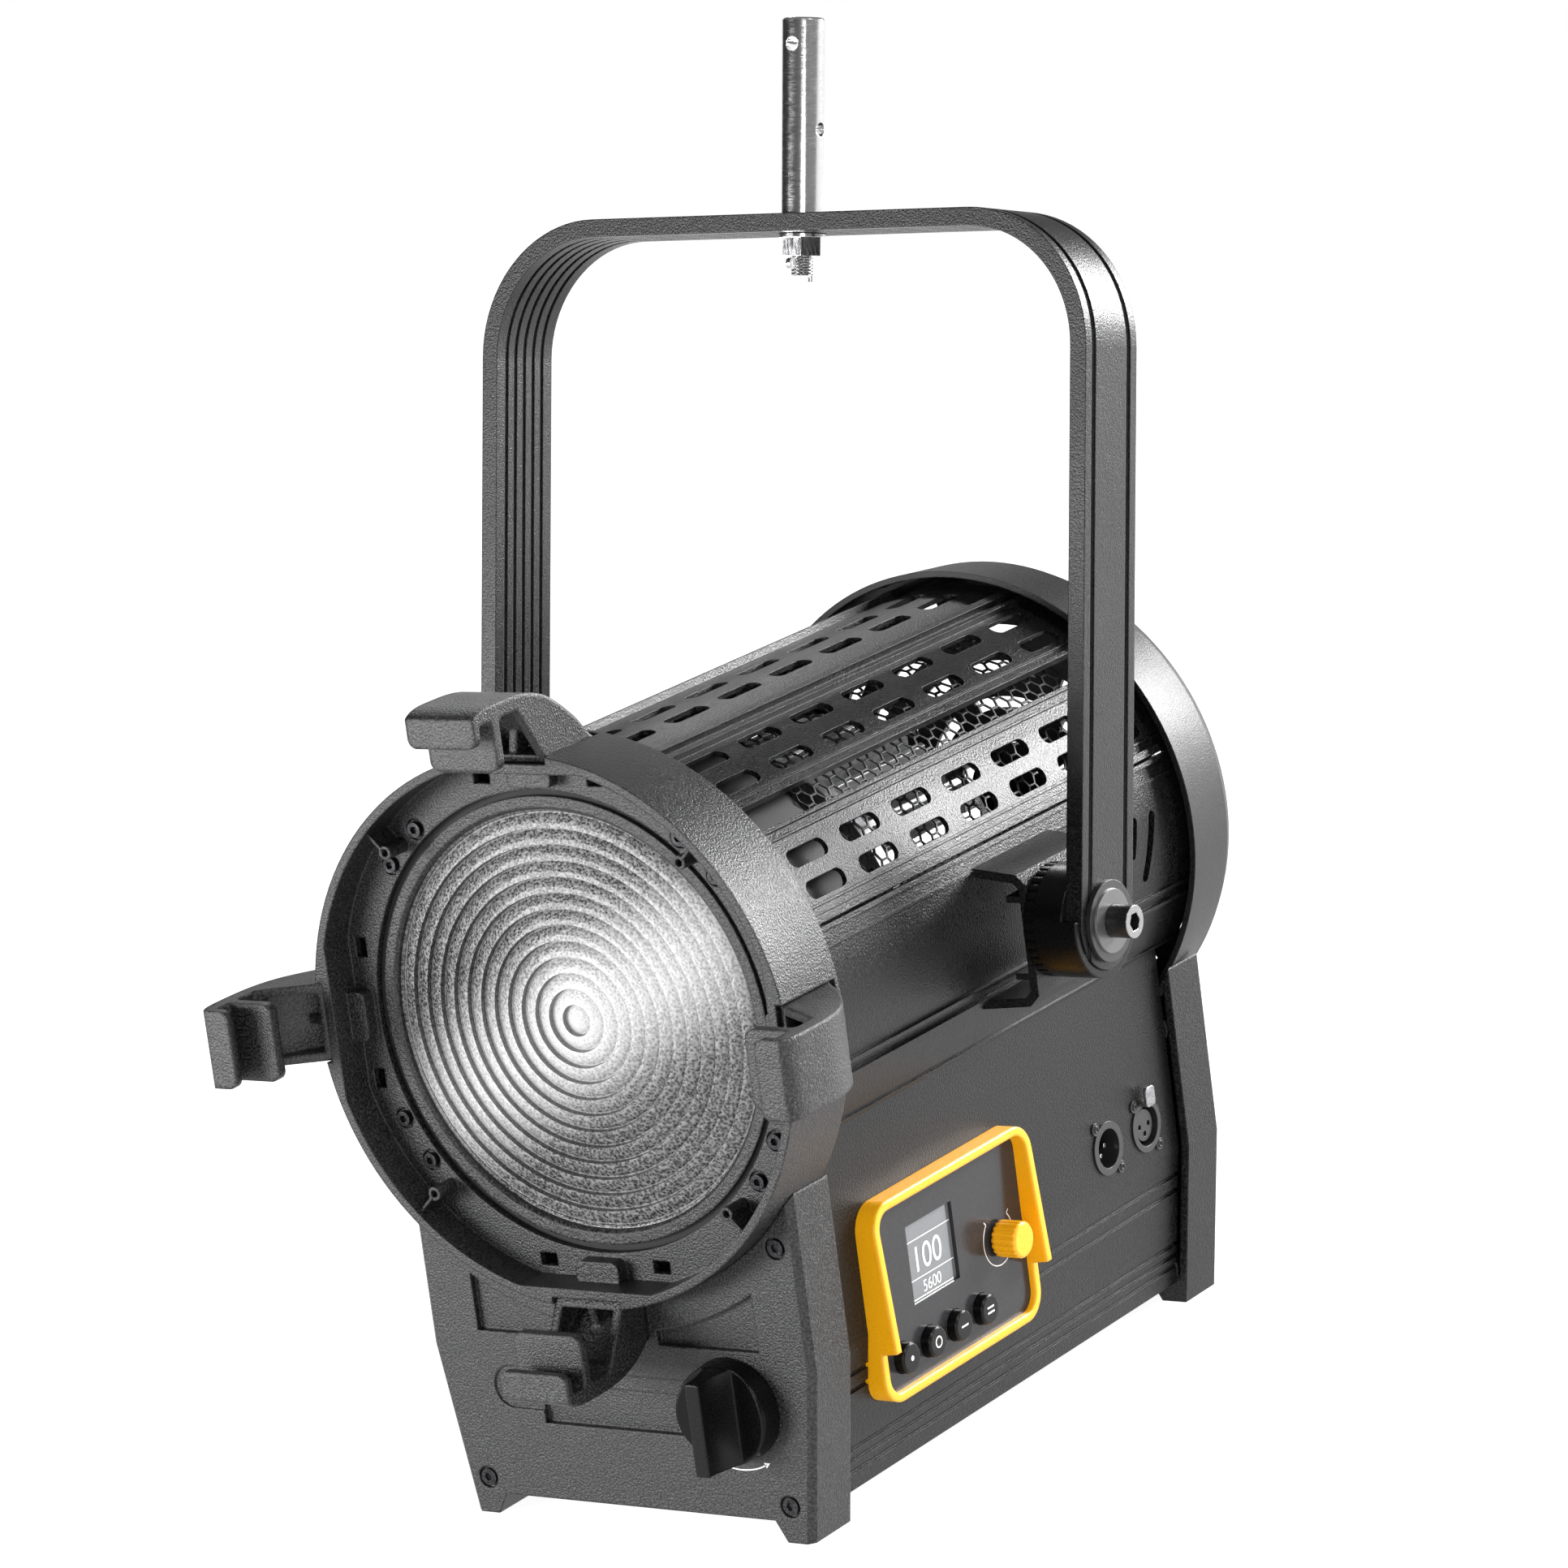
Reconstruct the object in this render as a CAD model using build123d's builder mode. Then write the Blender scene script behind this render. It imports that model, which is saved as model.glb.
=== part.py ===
from build123d import *
import os
from math import cos, radians, sin, sqrt

# Studio fresnel spotlight with a hanging yoke, standing on the feet of its two end plates.
# +Z is up, -Y is where the light goes, +X is the side with the controls.
# Most pieces are drawn in the lamp's own measures: depth behind the front rim, and
# height above the optical axis. The origin is on the floor, under the middle of the lamp.

os.makedirs("parts", exist_ok=True)

# ---------------------------------------------------------------- driving dimensions (mm)
AXIS_Z = 236.0            # optical axis above the feet
FRONT_Y = -179.0          # the front rim's plane

RIM_R = 127.2             # lens ring, outside
RING_DEPTH = 44.0
RING_WALL = 4.0
FLANGE_DEPTH = 18.0       # the flange lies this far behind the rim
FLANGE_R = 106.3          # flange opening
RETAINER_R = 96.5         # lens retaining ring, opening
LENS_R = 101.0
LENS_DEPTH = 23.0         # front of the lens
LENS_RINGS = 13
EAR_ANGLES = (0, 90, 180, 270)

PLATE_FRONT = 17.9        # end plates, from front face to back face
PLATE_THICK = 30.5
REAR_PLATE_FRONT = 350.9
PLATE_SKIN = 4.5
PLATE_HALF = 103.9        # half width down to the kink
KINK_Z = -156.6
FOOT_HALF = 92.1          # half width at the feet
FLOOR_Z = -AXIS_Z
BOTTOM_Z = -226.2         # underside between the feet
PLATE_WALL = 4.0

COVER_FRONT = 355.5       # rear cover drum
COVER_R = 124.1
COVER_REAR_R = 119.9
COVER_REAR = 404.0
COVER_WALL = 3.0

BODY_R = 114.0            # extruded body panels, outside
SHEET = 2.5
BODY_END = 372.0
SCREEN_R = 104.0

SIDE_X = 98.0             # flat side panel, outside
SIDE_TOP = -57.5
SIDE_LOW_X = 87.7         # the same at the bottom edge

PIVOT_DEPTH = 202.2       # tilt pivot, on the optical axis's height
YOKE_LEAN = 13.75         # the yoke leans back at rest, degrees
YOKE_WIDTH = 333.2
YOKE_BAR = 8.3
YOKE_DEPTH = 44.0
YOKE_TOP = 320.1          # pivot to the yoke's outer top face
YOKE_CORNER = 63.0
BRACKET_X = 138.0         # outer face of the pivot brackets
PIVOT_R = 6.25
RUNNING = 0.05            # radial clearance of a running fit
GAP = 0.3                 # clearance between bodies that move past each other

SPIGOT_R = 10.0
SPIGOT_LENGTH = 90.7
THREAD_R = 5.0

KNOB_X = 59.5             # focus knob and leadscrew
KNOB_Z = -175.0
SCREW_R = 5.0             # leadscrew and guide rods
ROD_X = 60.0
ROD_Z = -100.0

GUARD_FRONT = 72.5        # control panel, along the side
GUARD_REAR = 207.0
GUARD_TOP = -98.0
GUARD_LOW = -191.5
FACE_X = 101.0            # its glossy face
BUTTON_DEPTHS = (93.0, 115.5, 138.0, 160.6)
BUTTON_Z = -174.0
BUTTON_R = 7.2
ENCODER_DEPTH = 181.5
ENCODER_Z = -147.0
XLR_DEPTHS = (288.0, 324.0)
XLR_Z = -138.0

# ---------------------------------------------------------------- places
OPTICAL_AXIS = Axis((0, FRONT_Y, AXIS_Z), (0, 1, 0))


def across(depth):
    """Plane square to the optical axis: x is the lamp's x, y is the height above the axis."""
    return Plane(origin=(0, FRONT_Y + depth, AXIS_Z), x_dir=(1, 0, 0), z_dir=(0, -1, 0))


def beside(x):
    """Plane along the side: x is the depth behind the rim, y is the height above the axis."""
    return Plane(origin=(x, FRONT_Y, AXIS_Z), x_dir=(0, 1, 0), z_dir=(1, 0, 0))


def meridian(angle):
    """Plane through the optical axis: x is depth, y is radius, at a clock angle from the top."""
    turn = radians(angle)
    origin = (0, FRONT_Y, AXIS_Z)
    return Plane(origin=origin, x_dir=(0, 1, 0), z_dir=(cos(turn), 0, -sin(turn)))


def facing(angle, radius, depth=0.0):
    """Plane that looks outwards at a clock angle: x is depth, y is tangential."""
    turn = radians(angle)
    out = (sin(turn), 0, cos(turn))
    origin = (radius * out[0], FRONT_Y + depth, AXIS_Z + radius * out[2])
    return Plane(origin=origin, x_dir=(0, 1, 0), z_dir=out)


LEAN = radians(YOKE_LEAN)
YOKE_UP = (0, sin(LEAN), cos(LEAN))
YOKE_FRONT = (0, -cos(LEAN), sin(LEAN))
PIVOT = (0, FRONT_Y + PIVOT_DEPTH, AXIS_Z)


def yoke_face(forward=0.0):
    """Plane of the yoke's arch, moved forward: x across, y up the yoke from the pivot."""
    return Plane(origin=PIVOT, x_dir=(1, 0, 0), z_dir=YOKE_FRONT).offset(forward)


def yoke_level(height):
    """Plane square to the yoke's up direction."""
    return Plane(origin=PIVOT, x_dir=(1, 0, 0), z_dir=YOKE_UP).offset(height)


def pivot_side(x):
    """Plane square to the tilt axis, at x, with its y up the yoke."""
    return Plane(origin=(x, PIVOT[1], PIVOT[2]), x_dir=(0, cos(LEAN), -sin(LEAN)), z_dir=(1, 0, 0))


def save(piece, name):
    piece.part.label = name
    export_step(piece.part, f"parts/{name}.step")


def polar_points(radius, angles):
    """Points on a circle at clock angles from the top."""
    return [(radius * sin(radians(a)), radius * cos(radians(a))) for a in angles]


def sector(inner, outer, start, end):
    """Ring sector between two clock angles, inside a sketch."""
    with BuildLine() as outline:
        big = CenterArc((0, 0), outer, 90 - end, end - start)
        small = CenterArc((0, 0), inner, 90 - end, end - start)
        Line(big @ 0, small @ 0)
        Line(big @ 1, small @ 1)
    make_face(outline.edges())


def socket_screws(points, plane, head_r, head_h, shank_r, length):
    """Socket-head screws whose heads stand on plane and look along its normal."""
    with BuildPart() as screws:
        with BuildSketch(plane):
            with Locations(*points):
                Circle(head_r)
        extrude(amount=head_h)
        with BuildSketch(plane):
            with Locations(*points):
                Circle(shank_r)
        extrude(amount=-length)
        with BuildSketch(plane.offset(head_h)):
            with Locations(*points):
                RegularPolygon(head_r * 0.52, 6)
        extrude(amount=-head_h * 0.7, mode=Mode.SUBTRACT)
    return screws


# ---------------------------------------------------------------- front ring
SCREW_ANGLES = (39.5, 51.5, 116.0, 127.5, 232.5, 244.0, 308.5, 320.5)
SCREW_CIRCLE = 112.0
POST_ANGLES = (45, 135, 225, 315)
FLAT_HALF = 118.0         # inner flats of the rim behind the ears
NOTCH_FLOOR = 122.4
EAR_WIDTH = 36.0
EAR_FOOT = 123.0
EAR_SEAT_END = 41.5
HINGE_DEPTH = 35.5        # hinge of the top ear, low in its seat
HINGE_RADIUS = 123.8
HINGE_PIN_R = 1.3
KNUCKLE_R = 3.0
PIN_HALF = EAR_WIDTH / 2 + 3.5

with BuildPart() as front_ring:
    with BuildSketch(beside(0)):
        with BuildLine():
            Polyline((0, RIM_R - RING_WALL), (0, RIM_R), (RING_DEPTH, RIM_R), (RING_DEPTH, 109),
                     (RING_DEPTH - 4, 109), (RING_DEPTH - 4, RIM_R - RING_WALL),
                     (FLANGE_DEPTH + 4, RIM_R - RING_WALL), (FLANGE_DEPTH + 4, FLANGE_R),
                     (FLANGE_DEPTH, FLANGE_R), (FLANGE_DEPTH, RIM_R - RING_WALL), close=True)
        make_face()
    revolve(axis=OPTICAL_AXIS)
    with BuildSketch(across(0)):
        Circle(RIM_R - 1)
        Rectangle(2 * FLAT_HALF, 2 * FLAT_HALF, mode=Mode.SUBTRACT)
    extrude(amount=-RING_DEPTH)
    for angle in EAR_ANGLES:
        # a boss on the flange and two small windows beside it
        with BuildSketch(across(FLANGE_DEPTH)):
            with Locations(Location((*polar_points(114, [angle])[0], 0), (0, 0, -angle))):
                RectangleRounded(23, 11, 3.5)
        extrude(amount=7)
        for side in (-1, 1):
            with BuildSketch(across(FLANGE_DEPTH - 1)):
                with Locations(*polar_points(115.5, [angle + side * 15.4])):
                    Rectangle(9 if angle % 180 == 0 else 6, 6 if angle % 180 == 0 else 9)
            extrude(amount=-7, mode=Mode.SUBTRACT)
        # the seat of an accessory ear, cut into the rim
        with BuildSketch(facing(angle, NOTCH_FLOOR, EAR_SEAT_END)):
            Rectangle(EAR_SEAT_END + 2, EAR_WIDTH + 1, align=(Align.MAX, Align.CENTER))
        extrude(amount=10, mode=Mode.SUBTRACT)
    # room for the top ear's knuckle, and the holes of its hinge pin
    with BuildSketch(facing(0, HINGE_RADIUS - KNUCKLE_R - 0.4, EAR_SEAT_END)):
        Rectangle(10, EAR_WIDTH + 1, align=(Align.MAX, Align.CENTER))
    extrude(amount=10, mode=Mode.SUBTRACT)
    with BuildSketch(meridian(0)):
        with Locations((HINGE_DEPTH, HINGE_RADIUS)):
            Circle(HINGE_PIN_R)
    extrude(amount=PIN_HALF, both=True, mode=Mode.SUBTRACT)
    for angle in POST_ANGLES:
        with BuildSketch(across(4)):
            with Locations(*polar_points(SCREW_CIRCLE, [angle])):
                Circle(3.2)
        extrude(amount=-FLANGE_DEPTH + 2)
        with BuildSketch(facing(angle, 114, 11)):
            Rectangle(14.5, 1.4)
        extrude(amount=11)
        with BuildSketch(across(4)):
            with Locations(*polar_points(SCREW_CIRCLE, [angle])):
                Circle(1.7)
        extrude(amount=-10, mode=Mode.SUBTRACT)
    with BuildSketch(across(FLANGE_DEPTH)):
        with Locations(*polar_points(SCREW_CIRCLE, SCREW_ANGLES)):
            Circle(4.8)
    extrude(amount=-1.5, mode=Mode.SUBTRACT)
    with BuildSketch(across(FLANGE_DEPTH)):
        with Locations(*polar_points(SCREW_CIRCLE, SCREW_ANGLES)):
            Circle(2.0)
    extrude(amount=-5, mode=Mode.SUBTRACT)
save(front_ring, "front_ring")

screw_points = polar_points(SCREW_CIRCLE, SCREW_ANGLES)
ring_screws = socket_screws(screw_points, across(FLANGE_DEPTH + 1.5), 3.5, 3.0, 2.0, 9)
save(ring_screws, "ring_screws")

# ---------------------------------------------------------------- lens
with BuildPart() as lens_retaining_ring:
    with BuildSketch(beside(0)):
        with BuildLine():
            Polyline((19.5, RETAINER_R + 1.5), (19.5, 103), (LENS_DEPTH, 103), (LENS_DEPTH, RETAINER_R),
                     (21, RETAINER_R), close=True)
        make_face()
    revolve(axis=OPTICAL_AXIS)
save(lens_retaining_ring, "lens_retaining_ring")

LENS_BACK = LENS_DEPTH + 6
LENS_STEP = (RETAINER_R - 1) / LENS_RINGS
with BuildPart() as fresnel_lens:
    profile = [(LENS_BACK, 0.0), (LENS_DEPTH - 1.5, 0.0)]
    for ring in range(LENS_RINGS):
        outer = (ring + 1) * LENS_STEP
        profile.append((LENS_DEPTH + 1.2, outer - 0.4))
        if ring < LENS_RINGS - 1:
            profile.append((LENS_DEPTH - 1.5, outer))
    profile += [(LENS_DEPTH, RETAINER_R), (LENS_DEPTH, LENS_R), (LENS_BACK, LENS_R)]
    with BuildSketch(beside(0)):
        with BuildLine():
            Polyline(*profile, close=True)
        make_face()
    revolve(axis=OPTICAL_AXIS)
save(fresnel_lens, "fresnel_lens")

with BuildPart() as lens_gasket:
    with BuildSketch(beside(0)):
        with BuildLine():
            Polyline((FLANGE_DEPTH + 4, LENS_R + 2), (FLANGE_DEPTH + 4, 109.5), (LENS_BACK + 3, 109.5),
                     (LENS_BACK + 3, 97), (LENS_BACK, 97), (LENS_BACK, LENS_R),
                     (LENS_DEPTH, LENS_R), (LENS_DEPTH, LENS_R + 2), close=True)
        make_face()
    revolve(axis=OPTICAL_AXIS)
save(lens_gasket, "lens_gasket")

BAFFLE_END = 112.0
with BuildPart() as light_baffle:
    with BuildSketch(beside(0)):
        with BuildLine():
            Polyline((LENS_BACK + 3, SCREEN_R - 2), (LENS_BACK + 3, SCREEN_R - 0.5),
                     (BAFFLE_END, SCREEN_R - 0.5), (BAFFLE_END, SCREEN_R - 2), close=True)
        make_face()
    revolve(axis=OPTICAL_AXIS)
save(light_baffle, "light_baffle")

# ---------------------------------------------------------------- accessory ears


def ear(angle, hinged):
    """Channel-shaped bracket with two prongs that point at the optical axis."""
    foot = EAR_FOOT if hinged else NOTCH_FLOOR
    with BuildPart() as piece:
        with BuildSketch(meridian(angle)):
            with BuildLine():
                Polyline((3, foot), (-12, 148), (-14, 150.5), (-25.5, 150.5), (-27.5, 148.5),
                         (-27.5, 127.5), (-32.5, 127.5), (-32.5, 149), (-33.5, 150.5),
                         (-41, 150.5), (-42, 149), (-42, 141), (-46, 141), (-46, 154))
                Spline((-46, 154), (-28, 157.4), (-9, 156.6), (7, 152), (19, 144), (30, 134),
                       (38.2, 125.3), tangents=((0.55, 0.45), (1, -0.75)))
                Polyline((38.2, 125.3), (38.4, foot), (3, foot))
            make_face()
            if hinged:
                with Locations((HINGE_DEPTH, HINGE_RADIUS)):
                    Circle(KNUCKLE_R)
        extrude(amount=EAR_WIDTH / 2, both=True)
        # rounded corners at the tips of the lip and the prong
        place = meridian(angle)
        tips = [e for e in piece.edges() for depth, radius in ((-44, 141), (-30, 127.5))
                if abs(abs(place.to_local_coords(e.center()).Z) - EAR_WIDTH / 2) < 0.1
                and abs(place.to_local_coords(e.center()).X - depth) < 0.1
                and abs(place.to_local_coords(e.center()).Y - radius) < 0.1]
        fillet(tips, 4.5)
        # the hollow between the two cheeks, open in front
        with BuildSketch(meridian(angle)):
            with BuildLine():
                Polyline((-4, EAR_FOOT + 3.5), (-24, 148), (-7, 148), (16, EAR_FOOT + 3.5), close=True)
            make_face()
        extrude(amount=EAR_WIDTH / 2 - 4, both=True, mode=Mode.SUBTRACT)
        # a pointed gusset stands on the foot
        with BuildSketch(meridian(angle)):
            with BuildLine():
                Polyline((2.5, EAR_FOOT + 3), (8, 147), (12, 143), (12, EAR_FOOT + 3), close=True)
            make_face()
        extrude(amount=2, both=True)
        if hinged:
            with BuildSketch(meridian(angle)):
                with Locations((HINGE_DEPTH, HINGE_RADIUS)):
                    Circle(HINGE_PIN_R + RUNNING)
            extrude(amount=EAR_WIDTH, both=True, mode=Mode.SUBTRACT)
    return piece


ear_top = ear(0, True)
save(ear_top, "accessory_ear_top")
ear_right = ear(90, False)
save(ear_right, "accessory_ear_right")
ear_bottom = ear(180, False)
save(ear_bottom, "accessory_ear_bottom")
ear_left = ear(270, False)
save(ear_left, "accessory_ear_left")

with BuildPart() as ear_hinge_pin:
    with BuildSketch(meridian(0)):
        with Locations((HINGE_DEPTH, HINGE_RADIUS)):
            Circle(HINGE_PIN_R)
    extrude(amount=PIN_HALF, both=True)
save(ear_hinge_pin, "ear_hinge_pin")

# ---------------------------------------------------------------- end plates
PLATE_SCREWS = ((92.5, -98.6), (-92.5, -98.6), (82.5, -219.0), (-82.5, -219.0))


def plate_outline(inset=0):
    """Outline of an end plate: with its two feet, or moved in by inset and without them."""
    if inset == 0:
        right = [(PLATE_HALF, -60), (PLATE_HALF, KINK_Z), (FOOT_HALF, FLOOR_Z), (79, FLOOR_Z),
                 (73.5, BOTTOM_Z)]
    else:
        low = BOTTOM_Z + inset
        slope = (PLATE_HALF - FOOT_HALF) / (KINK_Z - FLOOR_Z)
        low_half = FOOT_HALF + slope * (low - FLOOR_Z) - inset
        right = [(PLATE_HALF - inset, -60), (PLATE_HALF - inset, KINK_Z), (low_half, low)]
    left = [(-x, z) for x, z in reversed(right)]
    with BuildLine() as outline:
        Polyline(*right, *left, close=True)
    make_face(outline.edges())


def end_plate(front, circle_r, skin_first):
    """Cast plate, hollow on the side that faces the body."""
    back = front + PLATE_THICK
    outer_face = front if skin_first else back
    hollow_start = front + PLATE_SKIN if skin_first else front - 1
    hollow_depth = PLATE_THICK - PLATE_SKIN + 1
    with BuildPart() as plate:
        with BuildSketch(across(front)):
            plate_outline(0)
            Circle(circle_r, mode=Mode.SUBTRACT)
        extrude(amount=-PLATE_THICK)
        face = plate.faces().filter_by(Axis.Y).sort_by(Axis.Y)[0 if skin_first else -1]
        sides = [e for e in face.edges() if abs(e.center().X) > 90 and e.length > 30
                 and e.geom_type == GeomType.LINE]
        chamfer(sides, 3)
        with BuildSketch(across(hollow_start)):
            plate_outline(PLATE_WALL)
            Circle(circle_r + 3.5, mode=Mode.SUBTRACT)
            with Locations(*PLATE_SCREWS):
                Circle(7, mode=Mode.SUBTRACT)
            with Locations((KNOB_X, KNOB_Z)):
                Circle(10, mode=Mode.SUBTRACT)
            with Locations((ROD_X, ROD_Z), (-ROD_X, ROD_Z)):
                Circle(9, mode=Mode.SUBTRACT)
        extrude(amount=-hollow_depth, mode=Mode.SUBTRACT)
        with BuildSketch(across(outer_face)):
            with Locations(*PLATE_SCREWS):
                Circle(5.2)
        extrude(amount=-2 if skin_first else 2, mode=Mode.SUBTRACT)
        with BuildSketch(across(outer_face)):
            with Locations(*PLATE_SCREWS):
                Circle(2.5)
        extrude(amount=-18 if skin_first else 18, mode=Mode.SUBTRACT)
    return plate


front_casting = end_plate(PLATE_FRONT, RIM_R + 0.2, True)
RECESS = 3.2
with BuildPart() as front_plate:
    add(front_casting.part)
    # two leaf-shaped recesses under the ring
    for side in (-1, 1):
        with BuildSketch(across(PLATE_FRONT)):
            with BuildLine():
                corner_z = -sqrt(143.0 ** 2 - 76.5 ** 2)
                inner_z = -sqrt(143.0 ** 2 - 22.7 ** 2)
                middle = (side * 143 * sin(radians(21)), -143 * cos(radians(21)))
                ThreePointArc((side * 22.7, inner_z), middle, (side * 76.5, corner_z))
                Line((side * 76.5, corner_z), (side * 76.5, -148))
                Line((side * 76.5, -148), (side * 22.7, -148))
                Line((side * 22.7, -148), (side * 22.7, inner_z))
            make_face()
        extrude(amount=-RECESS, mode=Mode.SUBTRACT)
    # room for the lower ear
    with BuildSketch(meridian(180)):
        with BuildLine():
            Polyline((PLATE_FRONT - 1, 118), (PLATE_FRONT - 1, 146.8), (20.5, 144), (31, 134.4),
                     (41, 126.5), (41, 118), close=True)
        make_face()
    extrude(amount=EAR_WIDTH / 2 + 0.3, both=True, mode=Mode.SUBTRACT)
    # the long recess that runs to the knob, and a deeper step in it
    with BuildSketch(across(PLATE_FRONT)):
        with Locations(((KNOB_X - 71.5) / 2, -174)):
            SlotOverall(KNOB_X + 71.5, 20)
    extrude(amount=-1, mode=Mode.SUBTRACT)
    with BuildSketch(across(PLATE_FRONT)):
        with Locations((7, -180.7)):
            Rectangle(105, 18.6)
    extrude(amount=-RECESS, mode=Mode.SUBTRACT)
    with BuildSketch(across(PLATE_FRONT)):
        with Locations((KNOB_X, KNOB_Z)):
            Circle(SCREW_R + RUNNING)
    extrude(amount=-PLATE_THICK, mode=Mode.SUBTRACT)
save(front_plate, "front_plate")

rear_casting = end_plate(REAR_PLATE_FRONT, COVER_R + 0.2, False)
INLET_X = -40.0
SWITCH_X = -5.0
INLET_Z = -185.0
with BuildPart() as rear_plate:
    add(rear_casting.part)
    with BuildSketch(across(REAR_PLATE_FRONT)):
        with Locations((KNOB_X, KNOB_Z)):
            Circle(SCREW_R + RUNNING)
    extrude(amount=-PLATE_THICK + PLATE_SKIN, mode=Mode.SUBTRACT)
    with BuildSketch(across(REAR_PLATE_FRONT)):
        with Locations((INLET_X, INLET_Z)):
            Rectangle(27.4, 20.4)
        with Locations((SWITCH_X, INLET_Z)):
            Rectangle(13.4, 19.4)
    extrude(amount=-PLATE_THICK, mode=Mode.SUBTRACT)
save(rear_plate, "rear_plate")

front_set = socket_screws(PLATE_SCREWS, across(PLATE_FRONT + 2), 4.0, 2.0, 2.5, 16)
rear_set = socket_screws([(-x, z) for x, z in PLATE_SCREWS],
                         Plane(origin=(0, FRONT_Y + REAR_PLATE_FRONT + PLATE_THICK - 2, AXIS_Z),
                               x_dir=(-1, 0, 0), z_dir=(0, 1, 0)), 4.0, 2.0, 2.5, 16)
with BuildPart() as end_plate_screws:
    add(front_set.part)
    add(rear_set.part)
save(end_plate_screws, "end_plate_screws")

# ---------------------------------------------------------------- rear cover
with BuildPart() as rear_cover:
    with BuildSketch(beside(0)):
        with BuildLine():
            Polyline((COVER_FRONT, COVER_R - COVER_WALL), (COVER_FRONT, COVER_R),
                     (COVER_REAR - 10, COVER_REAR_R), (COVER_REAR - 3, COVER_REAR_R - 3),
                     (COVER_REAR, COVER_REAR_R - 9), (COVER_REAR, 0), (COVER_REAR - COVER_WALL, 0),
                     (COVER_REAR - COVER_WALL, COVER_REAR_R - 10),
                     (COVER_REAR - 6, COVER_REAR_R - COVER_WALL - 3),
                     (COVER_REAR - 12, COVER_REAR_R - COVER_WALL), close=True)
        make_face()
    revolve(axis=OPTICAL_AXIS)
    # curved air slots in the back
    for ring_r, count in ((30, 4), (48, 6), (66, 8), (84, 10), (101, 12)):
        for number in range(count):
            middle = 360 / count * number
            reach = 130 / count
            with BuildSketch(across(COVER_REAR + 1)):
                sector(ring_r - 3, ring_r + 3, middle - reach, middle + reach)
            extrude(amount=6, mode=Mode.SUBTRACT)
save(rear_cover, "rear_cover")

# ---------------------------------------------------------------- extruded body panels
SLOT_PITCH = 43.0
SLOT_FIRST = 79.0
SLOT_COUNT = 7
SLOT_LONG = 30.0
SLOT_WIDE = 8.6


def curved_panel(start, end, ribs, slot_rows, outer=BODY_R, front=RING_DEPTH):
    """Extruded shell panel between two clock angles, with ribs and rows of vent slots."""
    with BuildPart() as panel:
        with BuildSketch(across(front)):
            sector(outer - SHEET, outer, start, end)
        extrude(amount=front - BODY_END)
        for rib_start, rib_end, height in ribs:
            with BuildSketch(across(front)):
                sector(outer - 0.5, outer + height, rib_start, rib_end)
            extrude(amount=front - BODY_END)
        for row in slot_rows:
            for number in range(SLOT_COUNT):
                with BuildSketch(facing(row, outer + 4, SLOT_FIRST + number * SLOT_PITCH)):
                    SlotOverall(SLOT_LONG, SLOT_WIDE)
                extrude(amount=-10, mode=Mode.SUBTRACT)
    return panel


TOP_RIBS = ((-40.6, -39.4, 2), (-37.8, -37.2, 1), (-20.5, -19.5, 3.5), (-17, -15, 3.5), (15, 17, 3.5),
            (19.5, 20.5, 3.5), (37.2, 37.8, 1), (39.4, 40.6, 2))
top_shell = curved_panel(-40.6, 40.6, TOP_RIBS, (-33.5, -24.5, -4.6, 4.6, 24.5, 33.5))
save(top_shell, "top_shell")

SHOULDER_RIBS = ((47.6, 48.6, 2), (50.2, 50.8, 1.5), (67.2, 67.8, 1), (69.5, 71.3, 2.5))
RAIL_RIBS = ((72, 73.2, 2.5), (76.2, 77, 1), (103.2, 104.2, 1.5), (106.4, 107.4, 2), (119.4, 120.4, 1))


def mirrored(spans):
    return [(-end, -start, height) for start, end, height in spans]


shoulder_right = curved_panel(47.6, 71.5, SHOULDER_RIBS, (56.0, 64.0))
save(shoulder_right, "shoulder_panel_right")
shoulder_left = curved_panel(-71.5, -47.6, mirrored(SHOULDER_RIBS), (-64.0, -56.0))
save(shoulder_left, "shoulder_panel_left")

rail_right = curved_panel(71.9, 120.4, RAIL_RIBS, ())
rail_left = curved_panel(-120.4, -71.9, mirrored(RAIL_RIBS), ())


def side_vents(panel, side, name):
    """Two slanted air slots near the rear end, above the side panel."""
    with BuildPart() as vented:
        add(panel.part)
        with BuildSketch(beside(side * (BODY_R + 4))):
            with Locations(Location((331.5, -2.5, 0), (0, 0, 68))):
                SlotOverall(34, 5)
            with Locations(Location((318.5, 4.5, 0), (0, 0, 70))):
                SlotOverall(20, 4)
        extrude(amount=-side * 12, mode=Mode.SUBTRACT)
    save(vented, name)


side_vents(rail_right, 1, "side_rail_right")
side_vents(rail_left, -1, "side_rail_left")

BAY_FRONT = PLATE_FRONT + PLATE_THICK
BAY_LENGTH = REAR_PLATE_FRONT - BAY_FRONT
SIDE_GROOVES = (-170.5, -178.5, -206.0, -211.5, -217.0)


def side_x(z, inset=0.0):
    """Outer face of the side panel at a height: upright, then leaning in under the kink."""
    if z > KINK_Z:
        return SIDE_X - inset
    return SIDE_X - (SIDE_X - SIDE_LOW_X) * (z - KINK_Z) / (BOTTOM_Z - KINK_Z) - inset


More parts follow.
